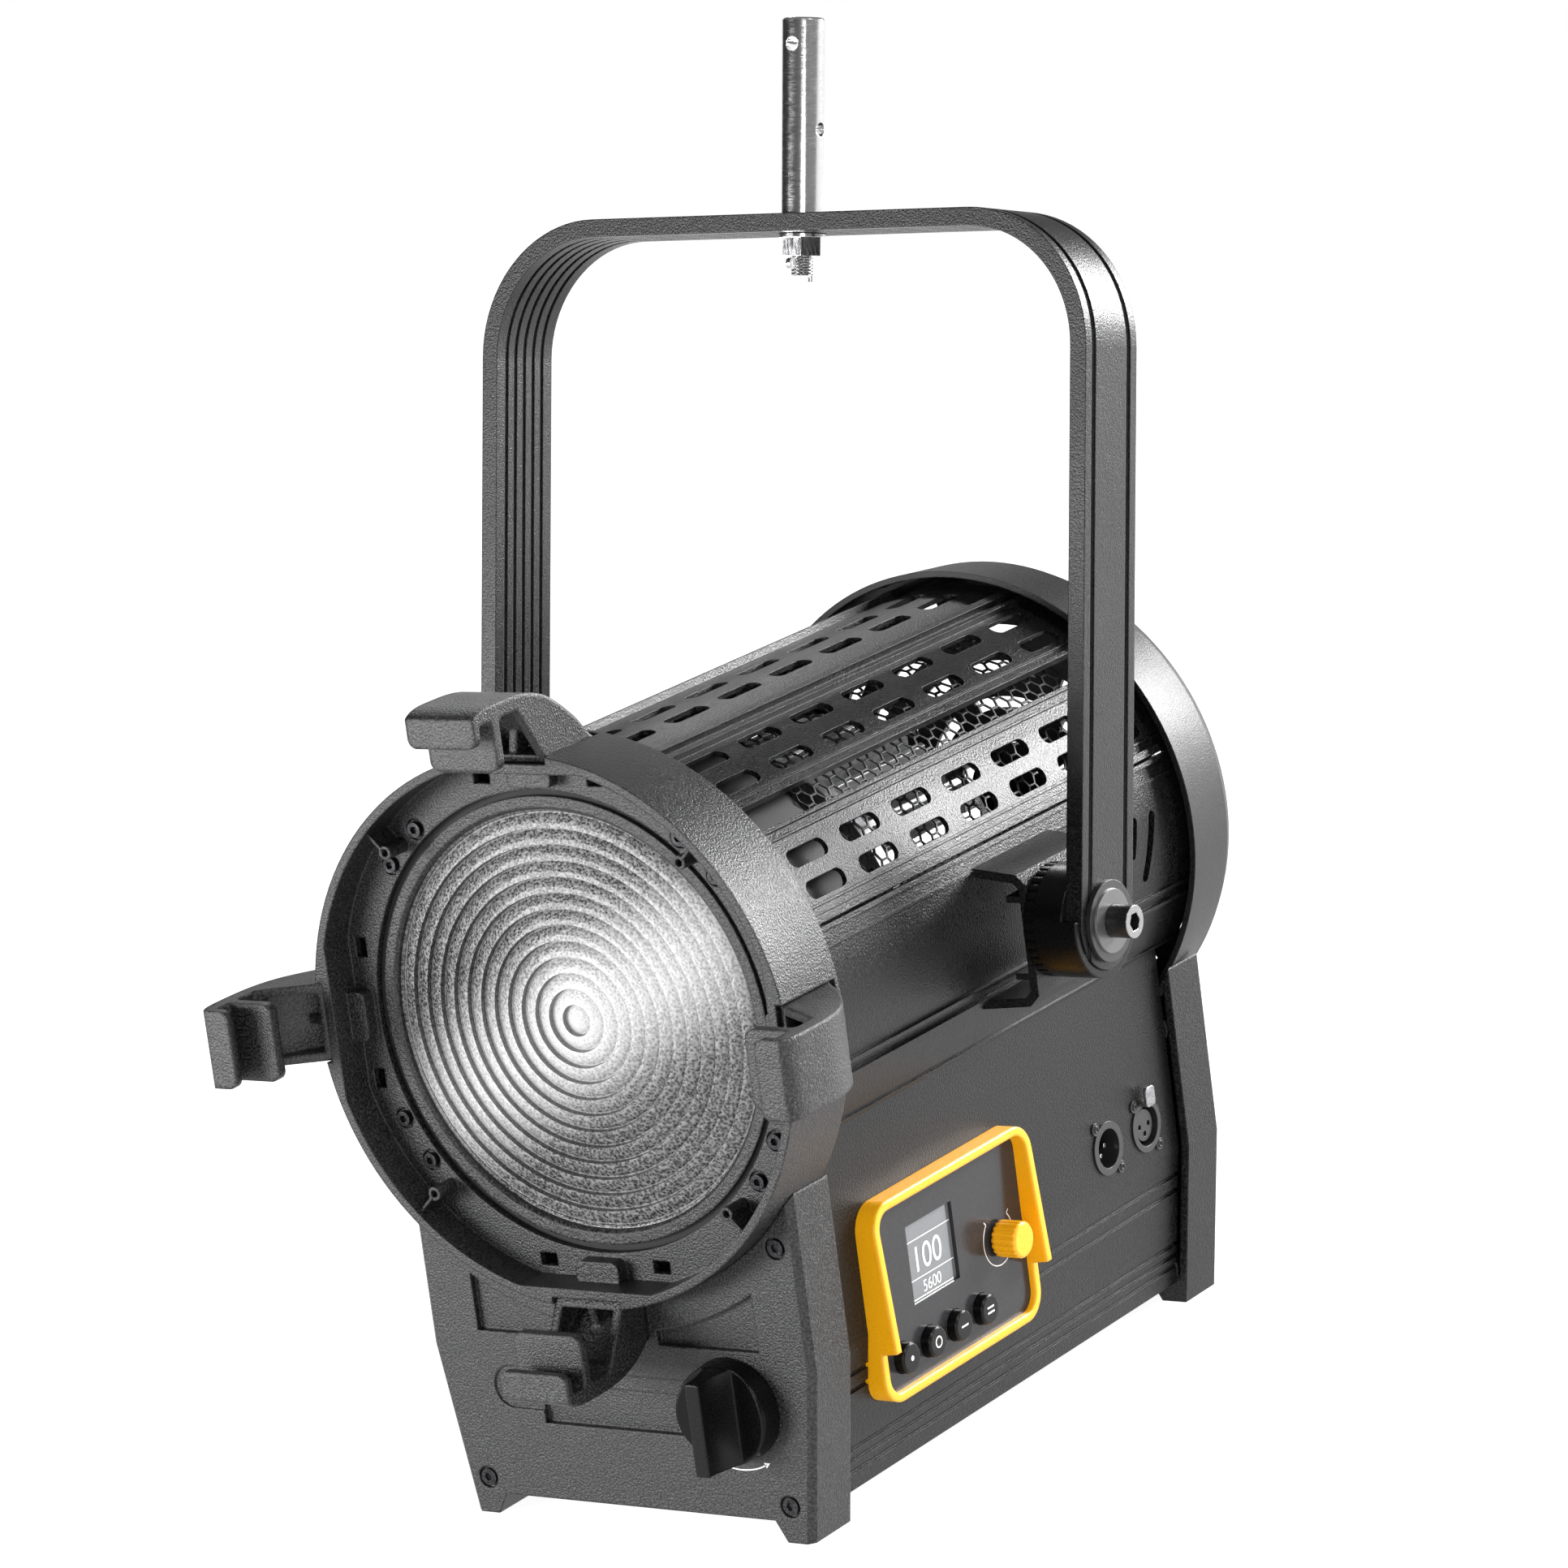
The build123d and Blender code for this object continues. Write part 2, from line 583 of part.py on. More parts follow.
def flat_panel(side, openings):
    """Extruded side panel with long grooves; openings are (depth, z, width, height, corner)."""
    with BuildPart() as panel:
        with BuildSketch(across(BAY_FRONT)):
            with BuildLine():
                Polyline((side * SIDE_X, SIDE_TOP), (side * SIDE_X, KINK_Z), (side * SIDE_LOW_X, BOTTOM_Z),
                         (side * (SIDE_LOW_X - SHEET), BOTTOM_Z), (side * (SIDE_X - SHEET), KINK_Z),
                         (side * (SIDE_X - SHEET), SIDE_TOP), close=True)
            make_face()
        extrude(amount=-BAY_LENGTH)
        for z in SIDE_GROOVES:
            with BuildSketch(across(BAY_FRONT)):
                with BuildLine():
                    Polyline((side * (side_x(z) + 1), z + 1.3), (side * (side_x(z) + 1), z - 1.3),
                             (side * side_x(z, 1.4), z - 1.1), (side * side_x(z, 1.4), z + 1.1), close=True)
                make_face()
            extrude(amount=-BAY_LENGTH, mode=Mode.SUBTRACT)
        for depth, z, width, height, corner in openings:
            with BuildSketch(beside(side * (SIDE_X + 5))):
                with Locations((depth, z)):
                    if corner == width / 2:
                        Circle(corner)
                    else:
                        RectangleRounded(width, height, corner)
            extrude(amount=-side * 25, mode=Mode.SUBTRACT)
    return panel


GUARD_MID = (GUARD_FRONT + GUARD_REAR) / 2
GUARD_MID_Z = (GUARD_TOP + GUARD_LOW) / 2
XLR_R = 12.0
GUARD_CORNER = 13.0
GUARD_WIDE = GUARD_REAR - GUARD_FRONT
GUARD_HIGH = GUARD_TOP - GUARD_LOW
side_openings = [(GUARD_MID, GUARD_MID_Z, GUARD_WIDE + 0.2, GUARD_HIGH + 0.2, GUARD_CORNER + 0.1)]
side_openings += [(depth, XLR_Z, 2 * XLR_R, 2 * XLR_R, XLR_R) for depth in XLR_DEPTHS]
side_right = flat_panel(1, side_openings)
save(side_right, "side_panel_right")
side_left = flat_panel(-1, [])
save(side_left, "side_panel_left")

with BuildPart() as bottom_plate:
    with BuildSketch(across(BAY_FRONT)):
        with Locations((0, BOTTOM_Z + SHEET / 2)):
            Rectangle(2 * (SIDE_LOW_X - SHEET - 0.2), SHEET)
    extrude(amount=-BAY_LENGTH)
save(bottom_plate, "bottom_plate")

with BuildPart() as hex_screen:
    with BuildSketch(across(BAFFLE_END)):
        sector(SCREEN_R, SCREEN_R + 1.2, -82, 82)
    extrude(amount=BAFFLE_END - REAR_PLATE_FRONT)
save(hex_screen, "hex_screen")

# ---------------------------------------------------------------- pivot brackets
BRACKET_FRONT = 183.0
BRACKET_REAR = 250.0


def pivot_bracket(side, hole_r):
    """Extruded channel that carries the tilt pivot, open at both ends."""
    with BuildPart() as bracket:
        with BuildSketch(across(BRACKET_FRONT)):
            with BuildLine():
                Polyline((side * 100, 29), (side * 133, 25.5), (side * BRACKET_X, 20.5),
                         (side * BRACKET_X, -31), (side * 133, -36), (side * 100, -39), (side * 100, -35),
                         (side * 131, -32), (side * 134, -29), (side * 134, 18.5), (side * 131, 21.6),
                         (side * 100, 25), close=True)
            make_face()
            with Locations((side * 131, 14), (side * 131, -22)):
                Rectangle(8, 3)
            Circle(BODY_R, mode=Mode.SUBTRACT)
        extrude(amount=BRACKET_FRONT - BRACKET_REAR)
        # grooves over the rail's ribs
        for rib_start, rib_end, height in RAIL_RIBS if side > 0 else mirrored(RAIL_RIBS):
            with BuildSketch(across(BRACKET_FRONT)):
                sector(BODY_R - 1, BODY_R + height, rib_start, rib_end)
            extrude(amount=BRACKET_FRONT - BRACKET_REAR, mode=Mode.SUBTRACT)
        with BuildSketch(beside(side * 150)):
            with Locations((PIVOT_DEPTH, 0)):
                Circle(hole_r)
        extrude(amount=-side * 30, mode=Mode.SUBTRACT)
    return bracket


bracket_right = pivot_bracket(1, PIVOT_R)
save(bracket_right, "pivot_bracket_right")
bracket_left = pivot_bracket(-1, PIVOT_R + RUNNING)
save(bracket_left, "pivot_bracket_left")

# ---------------------------------------------------------------- yoke
ARM_X = YOKE_WIDTH / 2
ARM_INNER = ARM_X - YOKE_BAR
YOKE_END_R = YOKE_DEPTH / 2


def arch(inset, mode=Mode.ADD):
    """Filled arch outline moved in by inset, from under the pivot up to the top."""
    half = ARM_X - inset
    top = YOKE_TOP - inset
    with BuildLine() as outline:
        FilletPolyline((-half, -40), (-half, top), (half, top), (half, -40), radius=YOKE_CORNER - inset)
        Line((half, -40), (-half, -40))
    make_face(outline.edges(), mode=mode)


OUTER_GROOVES = (-15.0, 15.0)
INNER_GROOVES = (-14.0, -7.0, 0.0, 7.0, 14.0)
GROOVE_DEEP = 1.3
with BuildPart() as yoke:
    with BuildSketch(yoke_face(-YOKE_END_R)):
        arch(0)
        arch(YOKE_BAR, mode=Mode.SUBTRACT)
    extrude(amount=YOKE_DEPTH)
    # round ends about the pivot
    with BuildSketch(pivot_side(-ARM_X - 1)):
        Rectangle(YOKE_DEPTH + 1, YOKE_TOP + 1, align=(Align.CENTER, Align.MIN))
        Circle(YOKE_END_R)
    extrude(amount=YOKE_WIDTH + 2, mode=Mode.INTERSECT)
    # grooves beside the broad outer band, and five inside
    for forward in OUTER_GROOVES:
        with BuildSketch(yoke_face(forward - 1.7)):
            arch(-1)
            arch(GROOVE_DEEP, mode=Mode.SUBTRACT)
        extrude(amount=3.4, mode=Mode.SUBTRACT)
    for forward in INNER_GROOVES:
        with BuildSketch(yoke_face(forward - 1.2)):
            arch(YOKE_BAR - GROOVE_DEEP)
            arch(YOKE_BAR + 1, mode=Mode.SUBTRACT)
        extrude(amount=2.4, mode=Mode.SUBTRACT)
    with BuildSketch(pivot_side(-ARM_X - 1)):
        Circle(PIVOT_R + RUNNING)
    extrude(amount=YOKE_WIDTH + 2, mode=Mode.SUBTRACT)
    with BuildSketch(yoke_level(YOKE_TOP + 1)):
        Circle(THREAD_R + RUNNING)
    extrude(amount=-YOKE_BAR - 2, mode=Mode.SUBTRACT)
save(yoke, "yoke")

CUP_R = 26.0
CUP_INNER_X = BRACKET_X + GAP


def pivot_cup(side):
    """Cup between bracket and yoke: a disc with a lip round the yoke's lower end."""
    with BuildPart() as cup:
        with BuildSketch(pivot_side(side * CUP_INNER_X)):
            Circle(CUP_R)
        extrude(amount=side * (ARM_INNER - CUP_INNER_X))
        with BuildSketch(pivot_side(side * ARM_INNER)):
            Circle(CUP_R)
            Circle(YOKE_END_R, mode=Mode.SUBTRACT)
            Rectangle(2 * CUP_R + 2, CUP_R + 2, align=(Align.CENTER, Align.MIN), mode=Mode.SUBTRACT)
        extrude(amount=side * (YOKE_BAR - 1))
        # a serrated rim on the bracket side
        with BuildSketch(pivot_side(side * CUP_INNER_X)):
            with PolarLocations(CUP_R, 36):
                Rectangle(1.6, 1.6)
        extrude(amount=side * 5, mode=Mode.SUBTRACT)
        with BuildSketch(pivot_side(side * 100)):
            Circle(PIVOT_R + RUNNING)
        extrude(amount=side * 80, mode=Mode.SUBTRACT)
    return cup


cup_right = pivot_cup(1)
save(cup_right, "pivot_cup_right")
cup_left = pivot_cup(-1)
save(cup_left, "pivot_cup_left")

WASHER_R = 18.6
WASHER_THICK = 2.4
with BuildPart() as pivot_washers:
    for side in (-1, 1):
        with BuildSketch(pivot_side(side * ARM_X)):
            Circle(WASHER_R)
            Circle(PIVOT_R + RUNNING, mode=Mode.SUBTRACT)
        extrude(amount=side * WASHER_THICK)
        with BuildSketch(pivot_side(side * (ARM_X + WASHER_THICK))):
            Circle(WASHER_R - 4)
            Circle(PIVOT_R + RUNNING, mode=Mode.SUBTRACT)
        extrude(amount=side * 0.8)
save(pivot_washers, "pivot_washers")

HEAD_X = ARM_X + WASHER_THICK + 0.8 + GAP
PIVOT_END_X = 181.0
with BuildPart() as pivot_bolt:
    with BuildSketch(beside(BRACKET_X - 4)):
        with Locations((PIVOT_DEPTH, 0)):
            Circle(PIVOT_R)
    extrude(amount=HEAD_X - BRACKET_X + 4)
    with BuildSketch(beside(HEAD_X)):
        with Locations((PIVOT_DEPTH, 0)):
            Circle(7.5)
    extrude(amount=PIVOT_END_X - HEAD_X)
    with BuildSketch(beside(PIVOT_END_X)):
        with Locations((PIVOT_DEPTH, 0)):
            RegularPolygon(4.4, 6)
    extrude(amount=-6, mode=Mode.SUBTRACT)
save(pivot_bolt, "pivot_bolt")

LEVER_LONG = 62.0
with BuildPart() as tilt_lock_lever:
    with BuildSketch(beside(-BRACKET_X + 4)):
        with Locations((PIVOT_DEPTH, 0)):
            Circle(PIVOT_R)
    extrude(amount=-(HEAD_X - BRACKET_X + 4))
    with BuildSketch(beside(-HEAD_X)):
        with Locations((PIVOT_DEPTH, 0)):
            Circle(12)
    extrude(amount=-(PIVOT_END_X - HEAD_X))
    with BuildSketch(beside(-HEAD_X - 4)):
        with BuildLine():
            Polyline((PIVOT_DEPTH - 7, -8), (PIVOT_DEPTH - 6, -LEVER_LONG), (PIVOT_DEPTH + 6, -LEVER_LONG),
                     (PIVOT_DEPTH + 7, -8), close=True)
        make_face()
        with Locations((PIVOT_DEPTH, -LEVER_LONG)):
            Circle(6)
    extrude(amount=-(PIVOT_END_X - HEAD_X - 4))
save(tilt_lock_lever, "tilt_lock_lever")

# ---------------------------------------------------------------- spigot
PIN_HOLE_R = 3.3
UPPER_HOLE = SPIGOT_LENGTH - 12.5
LOWER_HOLE = SPIGOT_LENGTH - 51.5
YOKE_UNDER = YOKE_TOP - YOKE_BAR
WASHER_TOP = YOKE_UNDER - GAP
NUT_TOP = WASHER_TOP - 1.6
NUT_HIGH = 8.6
THREAD_END = NUT_TOP - NUT_HIGH - 9
COTTER_LEVEL = NUT_TOP - NUT_HIGH - 3.5
COTTER_R = 1.1
with BuildPart() as spigot:
    with BuildSketch(yoke_level(YOKE_TOP + GAP)):
        Circle(SPIGOT_R)
    extrude(amount=SPIGOT_LENGTH - GAP)
    chamfer(spigot.edges().filter_by(GeomType.CIRCLE).sort_by(SortBy.DISTANCE)[-1:], 1)
    with BuildSketch(yoke_level(THREAD_END)):
        Circle(THREAD_R)
    extrude(amount=YOKE_TOP + GAP - THREAD_END)
    with BuildSketch(yoke_face(SPIGOT_R + 1)):
        with Locations((0, YOKE_TOP + UPPER_HOLE)):
            Circle(PIN_HOLE_R)
    extrude(amount=-2 * SPIGOT_R - 2, mode=Mode.SUBTRACT)
    with BuildSketch(pivot_side(-SPIGOT_R - 1)):
        with Locations((0, YOKE_TOP + LOWER_HOLE)):
            Circle(PIN_HOLE_R)
    extrude(amount=2 * SPIGOT_R + 2, mode=Mode.SUBTRACT)
    with BuildSketch(yoke_face(THREAD_R + 1)):
        with Locations((0, COTTER_LEVEL)):
            Circle(COTTER_R)
    extrude(amount=-2 * THREAD_R - 2, mode=Mode.SUBTRACT)
save(spigot, "spigot")

with BuildPart() as spigot_washer:
    with BuildSketch(yoke_level(NUT_TOP)):
        Circle(11)
        Circle(THREAD_R, mode=Mode.SUBTRACT)
    extrude(amount=WASHER_TOP - NUT_TOP)
save(spigot_washer, "spigot_washer")

with BuildPart() as spigot_nut:
    with BuildSketch(yoke_level(NUT_TOP)):
        RegularPolygon(10, 6)
        Circle(THREAD_R, mode=Mode.SUBTRACT)
    extrude(amount=-NUT_HIGH)
save(spigot_nut, "spigot_nut")

with BuildPart() as cotter_pin:
    with BuildSketch(yoke_face(THREAD_R + 3)):
        with Locations((0, COTTER_LEVEL)):
            Circle(COTTER_R)
    extrude(amount=-2 * THREAD_R - 5)
    # the eye in front and a bent leg behind
    with BuildSketch(pivot_side(-COTTER_R)):
        with Locations((-THREAD_R - 4.4, COTTER_LEVEL)):
            Circle(2.6)
            Circle(1.1, mode=Mode.SUBTRACT)
    extrude(amount=2 * COTTER_R)
    with BuildSketch(yoke_level(COTTER_LEVEL)):
        with Locations((0, THREAD_R + 2)):
            Circle(COTTER_R)
    extrude(amount=-8)
save(cotter_pin, "cotter_pin")

# ---------------------------------------------------------------- focus drive
KNOB_R = 24.0
KNOB_BACK = PLATE_FRONT - GAP
SKIRT_FRONT = 7.0
KNOB_FRONT = -12.0
with BuildPart() as focus_knob:
    with BuildSketch(across(KNOB_BACK)):
        with Locations((KNOB_X, KNOB_Z)):
            Circle(KNOB_R)
    extrude(amount=KNOB_BACK - SKIRT_FRONT, taper=5)
    # bar grip: full height, wide at the skirt and narrow in front
    with BuildSketch(across(SKIRT_FRONT)):
        with Locations((KNOB_X, KNOB_Z)):
            Circle(KNOB_R - 1.2)
    extrude(amount=SKIRT_FRONT - KNOB_FRONT, taper=4)
    # keep what is under this outline, seen from above: a scoop on each side of the grip
    with BuildSketch(Plane(origin=(KNOB_X, FRONT_Y, AXIS_Z + KNOB_Z), x_dir=(1, 0, 0), z_dir=(0, 0, -1))):
        with BuildLine():
            ThreePointArc((-KNOB_R - 2, -SKIRT_FRONT + 3.5), (-15, -SKIRT_FRONT - 0.5), (-7.5, -SKIRT_FRONT - 1.5))
            ThreePointArc((-7.5, -SKIRT_FRONT - 1.5), (-4.2, 0), (-3.6, -KNOB_FRONT + 1))
            Line((-3.6, -KNOB_FRONT + 1), (3.6, -KNOB_FRONT + 1))
            ThreePointArc((3.6, -KNOB_FRONT + 1), (4.2, 0), (7.5, -SKIRT_FRONT - 1.5))
            ThreePointArc((7.5, -SKIRT_FRONT - 1.5), (15, -SKIRT_FRONT - 0.5), (KNOB_R + 2, -SKIRT_FRONT + 3.5))
            Polyline((KNOB_R + 2, -SKIRT_FRONT + 3.5), (KNOB_R + 2, -KNOB_BACK - 2),
                     (-KNOB_R - 2, -KNOB_BACK - 2), (-KNOB_R - 2, -SKIRT_FRONT + 3.5))
        make_face()
    extrude(amount=KNOB_R + 2, both=True, mode=Mode.INTERSECT)
    with BuildSketch(across(KNOB_BACK + 1)):
        with Locations((KNOB_X, KNOB_Z)):
            Circle(SCREW_R)
    extrude(amount=11, mode=Mode.SUBTRACT)
save(focus_knob, "focus_knob")

SCREW_END = REAR_PLATE_FRONT + 12
with BuildPart() as focus_leadscrew:
    with BuildSketch(across(KNOB_BACK - 10)):
        with Locations((KNOB_X, KNOB_Z)):
            Circle(SCREW_R)
    extrude(amount=KNOB_BACK - 10 - SCREW_END)
save(focus_leadscrew, "focus_leadscrew")

with BuildPart() as guide_rods:
    with BuildSketch(across(BAY_FRONT)):
        with Locations((ROD_X, ROD_Z), (-ROD_X, ROD_Z)):
            Circle(SCREW_R)
    extrude(amount=-BAY_LENGTH)
save(guide_rods, "guide_rods")

CARRIAGE = 155.0
CARRIAGE_THICK = 8.0
with BuildPart() as led_carriage:
    with BuildSketch(across(CARRIAGE)):
        Circle(88)
        with Locations((0, -88)):
            Rectangle(2 * ROD_X + 24, 40)
        with Locations((KNOB_X, (ROD_Z + KNOB_Z) / 2)):
            Rectangle(26, 100)
        with Locations((ROD_X, ROD_Z), (-ROD_X, ROD_Z), (KNOB_X, KNOB_Z)):
            Circle(SCREW_R + RUNNING, mode=Mode.SUBTRACT)
        Circle(16, mode=Mode.SUBTRACT)
    extrude(amount=-CARRIAGE_THICK)
save(led_carriage, "led_carriage")

with BuildPart() as led_module:
    with BuildSketch(across(CARRIAGE)):
        Rectangle(56, 56)
    extrude(amount=3)
    with BuildSketch(across(CARRIAGE - 3)):
        Circle(17)
    extrude(amount=1.4)
save(led_module, "led_module")

FIN_COUNT = 17
SINK_END = CARRIAGE + CARRIAGE_THICK + 92
with BuildPart() as heat_sink:
    with BuildSketch(across(CARRIAGE + CARRIAGE_THICK)):
        Circle(80)
    extrude(amount=-10)
    with BuildSketch(across(CARRIAGE + CARRIAGE_THICK + 10)):
        with GridLocations(9, 0, FIN_COUNT, 1):
            Rectangle(2, 160)
        Circle(80, mode=Mode.INTERSECT)
    extrude(amount=-82)
save(heat_sink, "heat_sink")

FAN_THICK = 25.0
with BuildPart() as fan_frame:
    with BuildSketch(across(SINK_END)):
        Circle(66)
        Circle(58, mode=Mode.SUBTRACT)
    extrude(amount=-FAN_THICK)
    with BuildSketch(across(SINK_END)):
        with PolarLocations(40, 4, start_angle=45):
            Rectangle(50, 4)
        Circle(18)
        Circle(61, mode=Mode.INTERSECT)
    extrude(amount=-3)
    with BuildSketch(across(SINK_END + 3)):
        Circle(4)
    extrude(amount=-18)
save(fan_frame, "fan_frame")

BLADES = 7
with BuildPart() as fan_rotor:
    with BuildSketch(across(SINK_END + 4)):
        Circle(20)
        Circle(4 + RUNNING, mode=Mode.SUBTRACT)
    extrude(amount=-20)
    for number in range(BLADES):
        with BuildSketch(facing(360 / BLADES * number, 18, SINK_END + 14)):
            with Locations(Location((0, 0, 0), (0, 0, 50))):
                Rectangle(20, 2)
        extrude(amount=36)
save(fan_rotor, "fan_rotor")

with BuildPart() as power_supply:
    with BuildSketch(across(75)):
        with Locations((-25, -176)):
            Rectangle(100, 70)
    extrude(amount=-190)
save(power_supply, "power_supply")

# ---------------------------------------------------------------- control panel
GUARD_RISE = 9.5          # how far the guard stands out at its top
GUARD_RISE_LOW = 14.0     # and at its lower ends
GUARD_END = -165.0
FRAME_X = 104.0
GUARD_BACK_X = 92.0
with BuildPart() as control_guard:
    with BuildSketch(beside(GUARD_BACK_X)):
        with Locations((GUARD_MID, GUARD_MID_Z)):
            RectangleRounded(GUARD_WIDE, GUARD_HIGH, GUARD_CORNER)
            RectangleRounded(GUARD_WIDE - 8, GUARD_HIGH - 8, GUARD_CORNER - 4, mode=Mode.SUBTRACT)
    extrude(amount=SIDE_X + GUARD_RISE_LOW - GUARD_BACK_X)
    # cut back to the slanted front edge, and to the low frame under the ends
    with BuildSketch(across(GUARD_FRONT - 5)):
        with BuildLine():
            Polyline((SIDE_X + GUARD_RISE, GUARD_TOP + 5), (SIDE_X + GUARD_RISE, GUARD_TOP),
                     (SIDE_X + GUARD_RISE_LOW, GUARD_END), (FRAME_X, GUARD_END - 1),
                     (FRAME_X, GUARD_LOW - 5), (SIDE_X + 30, GUARD_LOW - 5), (SIDE_X + 30, GUARD_TOP + 5),
                     close=True)
        make_face()
    extrude(amount=-GUARD_WIDE - 10, mode=Mode.SUBTRACT)
save(control_guard, "control_guard")

DISPLAY_DEPTH = 127.0
DISPLAY_Z = -136.0
FACE_THICK = 3.0
with BuildPart() as control_face:
    with BuildSketch(beside(FACE_X - FACE_THICK)):
        with Locations((GUARD_MID, GUARD_MID_Z)):
            RectangleRounded(GUARD_WIDE - 8, GUARD_HIGH - 8, GUARD_CORNER - 4)
        with Locations(*[(depth, BUTTON_Z) for depth in BUTTON_DEPTHS]):
            Circle(BUTTON_R + GAP, mode=Mode.SUBTRACT)
        with Locations((ENCODER_DEPTH, ENCODER_Z)):
            Circle(3.5 + GAP, mode=Mode.SUBTRACT)
        with Locations((DISPLAY_DEPTH, DISPLAY_Z)):
            Rectangle(39, 36.5, mode=Mode.SUBTRACT)
    extrude(amount=FACE_THICK)
save(control_face, "control_face")

with BuildPart() as display_module:
    with BuildSketch(beside(FACE_X - FACE_THICK - 4)):
        with Locations((GUARD_MID, GUARD_MID_Z)):
            Rectangle(118, 80)
        with Locations(*[(depth, BUTTON_Z) for depth in BUTTON_DEPTHS]):
            Circle(BUTTON_R + 2, mode=Mode.SUBTRACT)
        with Locations((ENCODER_DEPTH, ENCODER_Z)):
            Circle(8, mode=Mode.SUBTRACT)
    extrude(amount=4)
    with BuildSketch(beside(FACE_X - FACE_THICK)):
        with Locations((DISPLAY_DEPTH, DISPLAY_Z)):
            Rectangle(38.8, 36.3)
    extrude(amount=1)
    with BuildSketch(beside(FACE_X - FACE_THICK - 12)):
        with Locations((GUARD_MID, GUARD_MID_Z)):
            Rectangle(118, 80)
    extrude(amount=1.6)
    with BuildSketch(beside(FACE_X - FACE_THICK - 11)):
        with Locations((GUARD_MID, GUARD_TOP - 16)):
            Rectangle(60, 8)
    extrude(amount=8)
save(display_module, "display_module")

BUTTON_FRONT = FACE_X + 5
for number, depth in enumerate(BUTTON_DEPTHS, 1):
    with BuildPart() as menu_button:
        with BuildSketch(beside(FACE_X - 5)):
            with Locations((depth, BUTTON_Z)):
                Circle(BUTTON_R)
        extrude(amount=BUTTON_FRONT - FACE_X + 5)
        chamfer(menu_button.faces().sort_by(Axis.X)[-1].edges(), 0.8)
    save(menu_button, f"menu_button_{number}")

KNOB_ROOT = FACE_X + 1.6
with BuildPart() as encoder_shaft:
    with BuildSketch(beside(FACE_X - 6)):
        with Locations((ENCODER_DEPTH, ENCODER_Z)):
            Circle(3)
    extrude(amount=KNOB_ROOT - FACE_X + 6 + 6)
    with BuildSketch(beside(FACE_X - 9)):
        with Locations((ENCODER_DEPTH, ENCODER_Z)):
            Circle(6)
    extrude(amount=3)
save(encoder_shaft, "encoder_shaft")

with BuildPart() as encoder_knob:
    with BuildSketch(beside(KNOB_ROOT)):
        with Locations((ENCODER_DEPTH, ENCODER_Z)):
            Circle(8.6)
    extrude(amount=12.4)
    chamfer(encoder_knob.faces().sort_by(Axis.X)[-1].edges(), 1)
    with BuildSketch(beside(KNOB_ROOT)):
        with Locations((ENCODER_DEPTH, ENCODER_Z)):
            with PolarLocations(8.9, 18):
                Circle(0.8)
    extrude(amount=12.4, mode=Mode.SUBTRACT)
    with BuildSketch(beside(KNOB_ROOT)):
        with Locations((ENCODER_DEPTH, ENCODER_Z)):
            Circle(3 + RUNNING)
    extrude(amount=6 + RUNNING, mode=Mode.SUBTRACT)
save(encoder_knob, "encoder_knob")

# ---------------------------------------------------------------- data sockets
XLR_FLANGE_X = SIDE_X + 0.8
PIN_PLACES = ((-4.1, 0), (4.1, 0), (0, -4.1))


def xlr_shell(depth, inner_r, floor_x):
    """Round panel socket with its flange ring and two screws' lugs, bored from outside."""
    with BuildPart() as shell:
        with BuildSketch(beside(SIDE_X - 20)):
            with Locations((depth, XLR_Z)):
                Circle(XLR_R - 0.2)
        extrude(amount=XLR_FLANGE_X - SIDE_X + 20)
        with BuildSketch(beside(SIDE_X)):
            with Locations((depth, XLR_Z)):
                Circle(12.9)
            with Locations((depth - 9.5, XLR_Z + 12), (depth + 9.5, XLR_Z - 12)):
                Circle(3)
        extrude(amount=0.8)
        with BuildSketch(beside(floor_x)):
            with Locations((depth, XLR_Z)):
                Circle(inner_r)
        extrude(amount=30, mode=Mode.SUBTRACT)
        with BuildSketch(beside(SIDE_X + 1)):
            with Locations((depth - 9.5, XLR_Z + 12), (depth + 9.5, XLR_Z - 12)):
                Circle(1.3)
        extrude(amount=-2, mode=Mode.SUBTRACT)
    return shell


male_shell = xlr_shell(XLR_DEPTHS[0], 9.4, SIDE_X - 14)
with BuildPart() as data_socket_in:
    add(male_shell.part)
    with BuildSketch(beside(SIDE_X - 15)):
        with Locations((XLR_DEPTHS[0], XLR_Z)):
            with Locations(*PIN_PLACES):
                Circle(1.2)
    extrude(amount=11)
save(data_socket_in, "data_socket_in")

female_shell = xlr_shell(XLR_DEPTHS[1], 9.9, SIDE_X - 12)
with BuildPart() as data_socket_out:
    add(female_shell.part)
    with BuildSketch(beside(SIDE_X - 13)):
        with Locations((XLR_DEPTHS[1], XLR_Z)):
            Circle(7.6)
    extrude(amount=12)
    with BuildSketch(beside(SIDE_X + 1)):
        with Locations((XLR_DEPTHS[1], XLR_Z)):
            with Locations(*PIN_PLACES):
                Circle(1.3)
    extrude(amount=-12, mode=Mode.SUBTRACT)
    # slot that guides the latch tab
    with BuildSketch(beside(SIDE_X - 8)):
        with Locations((XLR_DEPTHS[1], XLR_Z + 10.6)):
            Rectangle(5, 2.4)
    extrude(amount=20, mode=Mode.SUBTRACT)
save(data_socket_out, "data_socket_out")

with BuildPart() as socket_latch:
    with BuildSketch(beside(SIDE_X - 5)):
        with Locations((XLR_DEPTHS[1], XLR_Z + 10.6)):
            Rectangle(4.4, 1.6)
    extrude(amount=9)
    with BuildSketch(beside(SIDE_X + 3.2)):
        with Locations((XLR_DEPTHS[1], XLR_Z + 14.7)):
            RectangleRounded(8, 9.5, 2)
    extrude(amount=1.4)
save(socket_latch, "socket_latch")

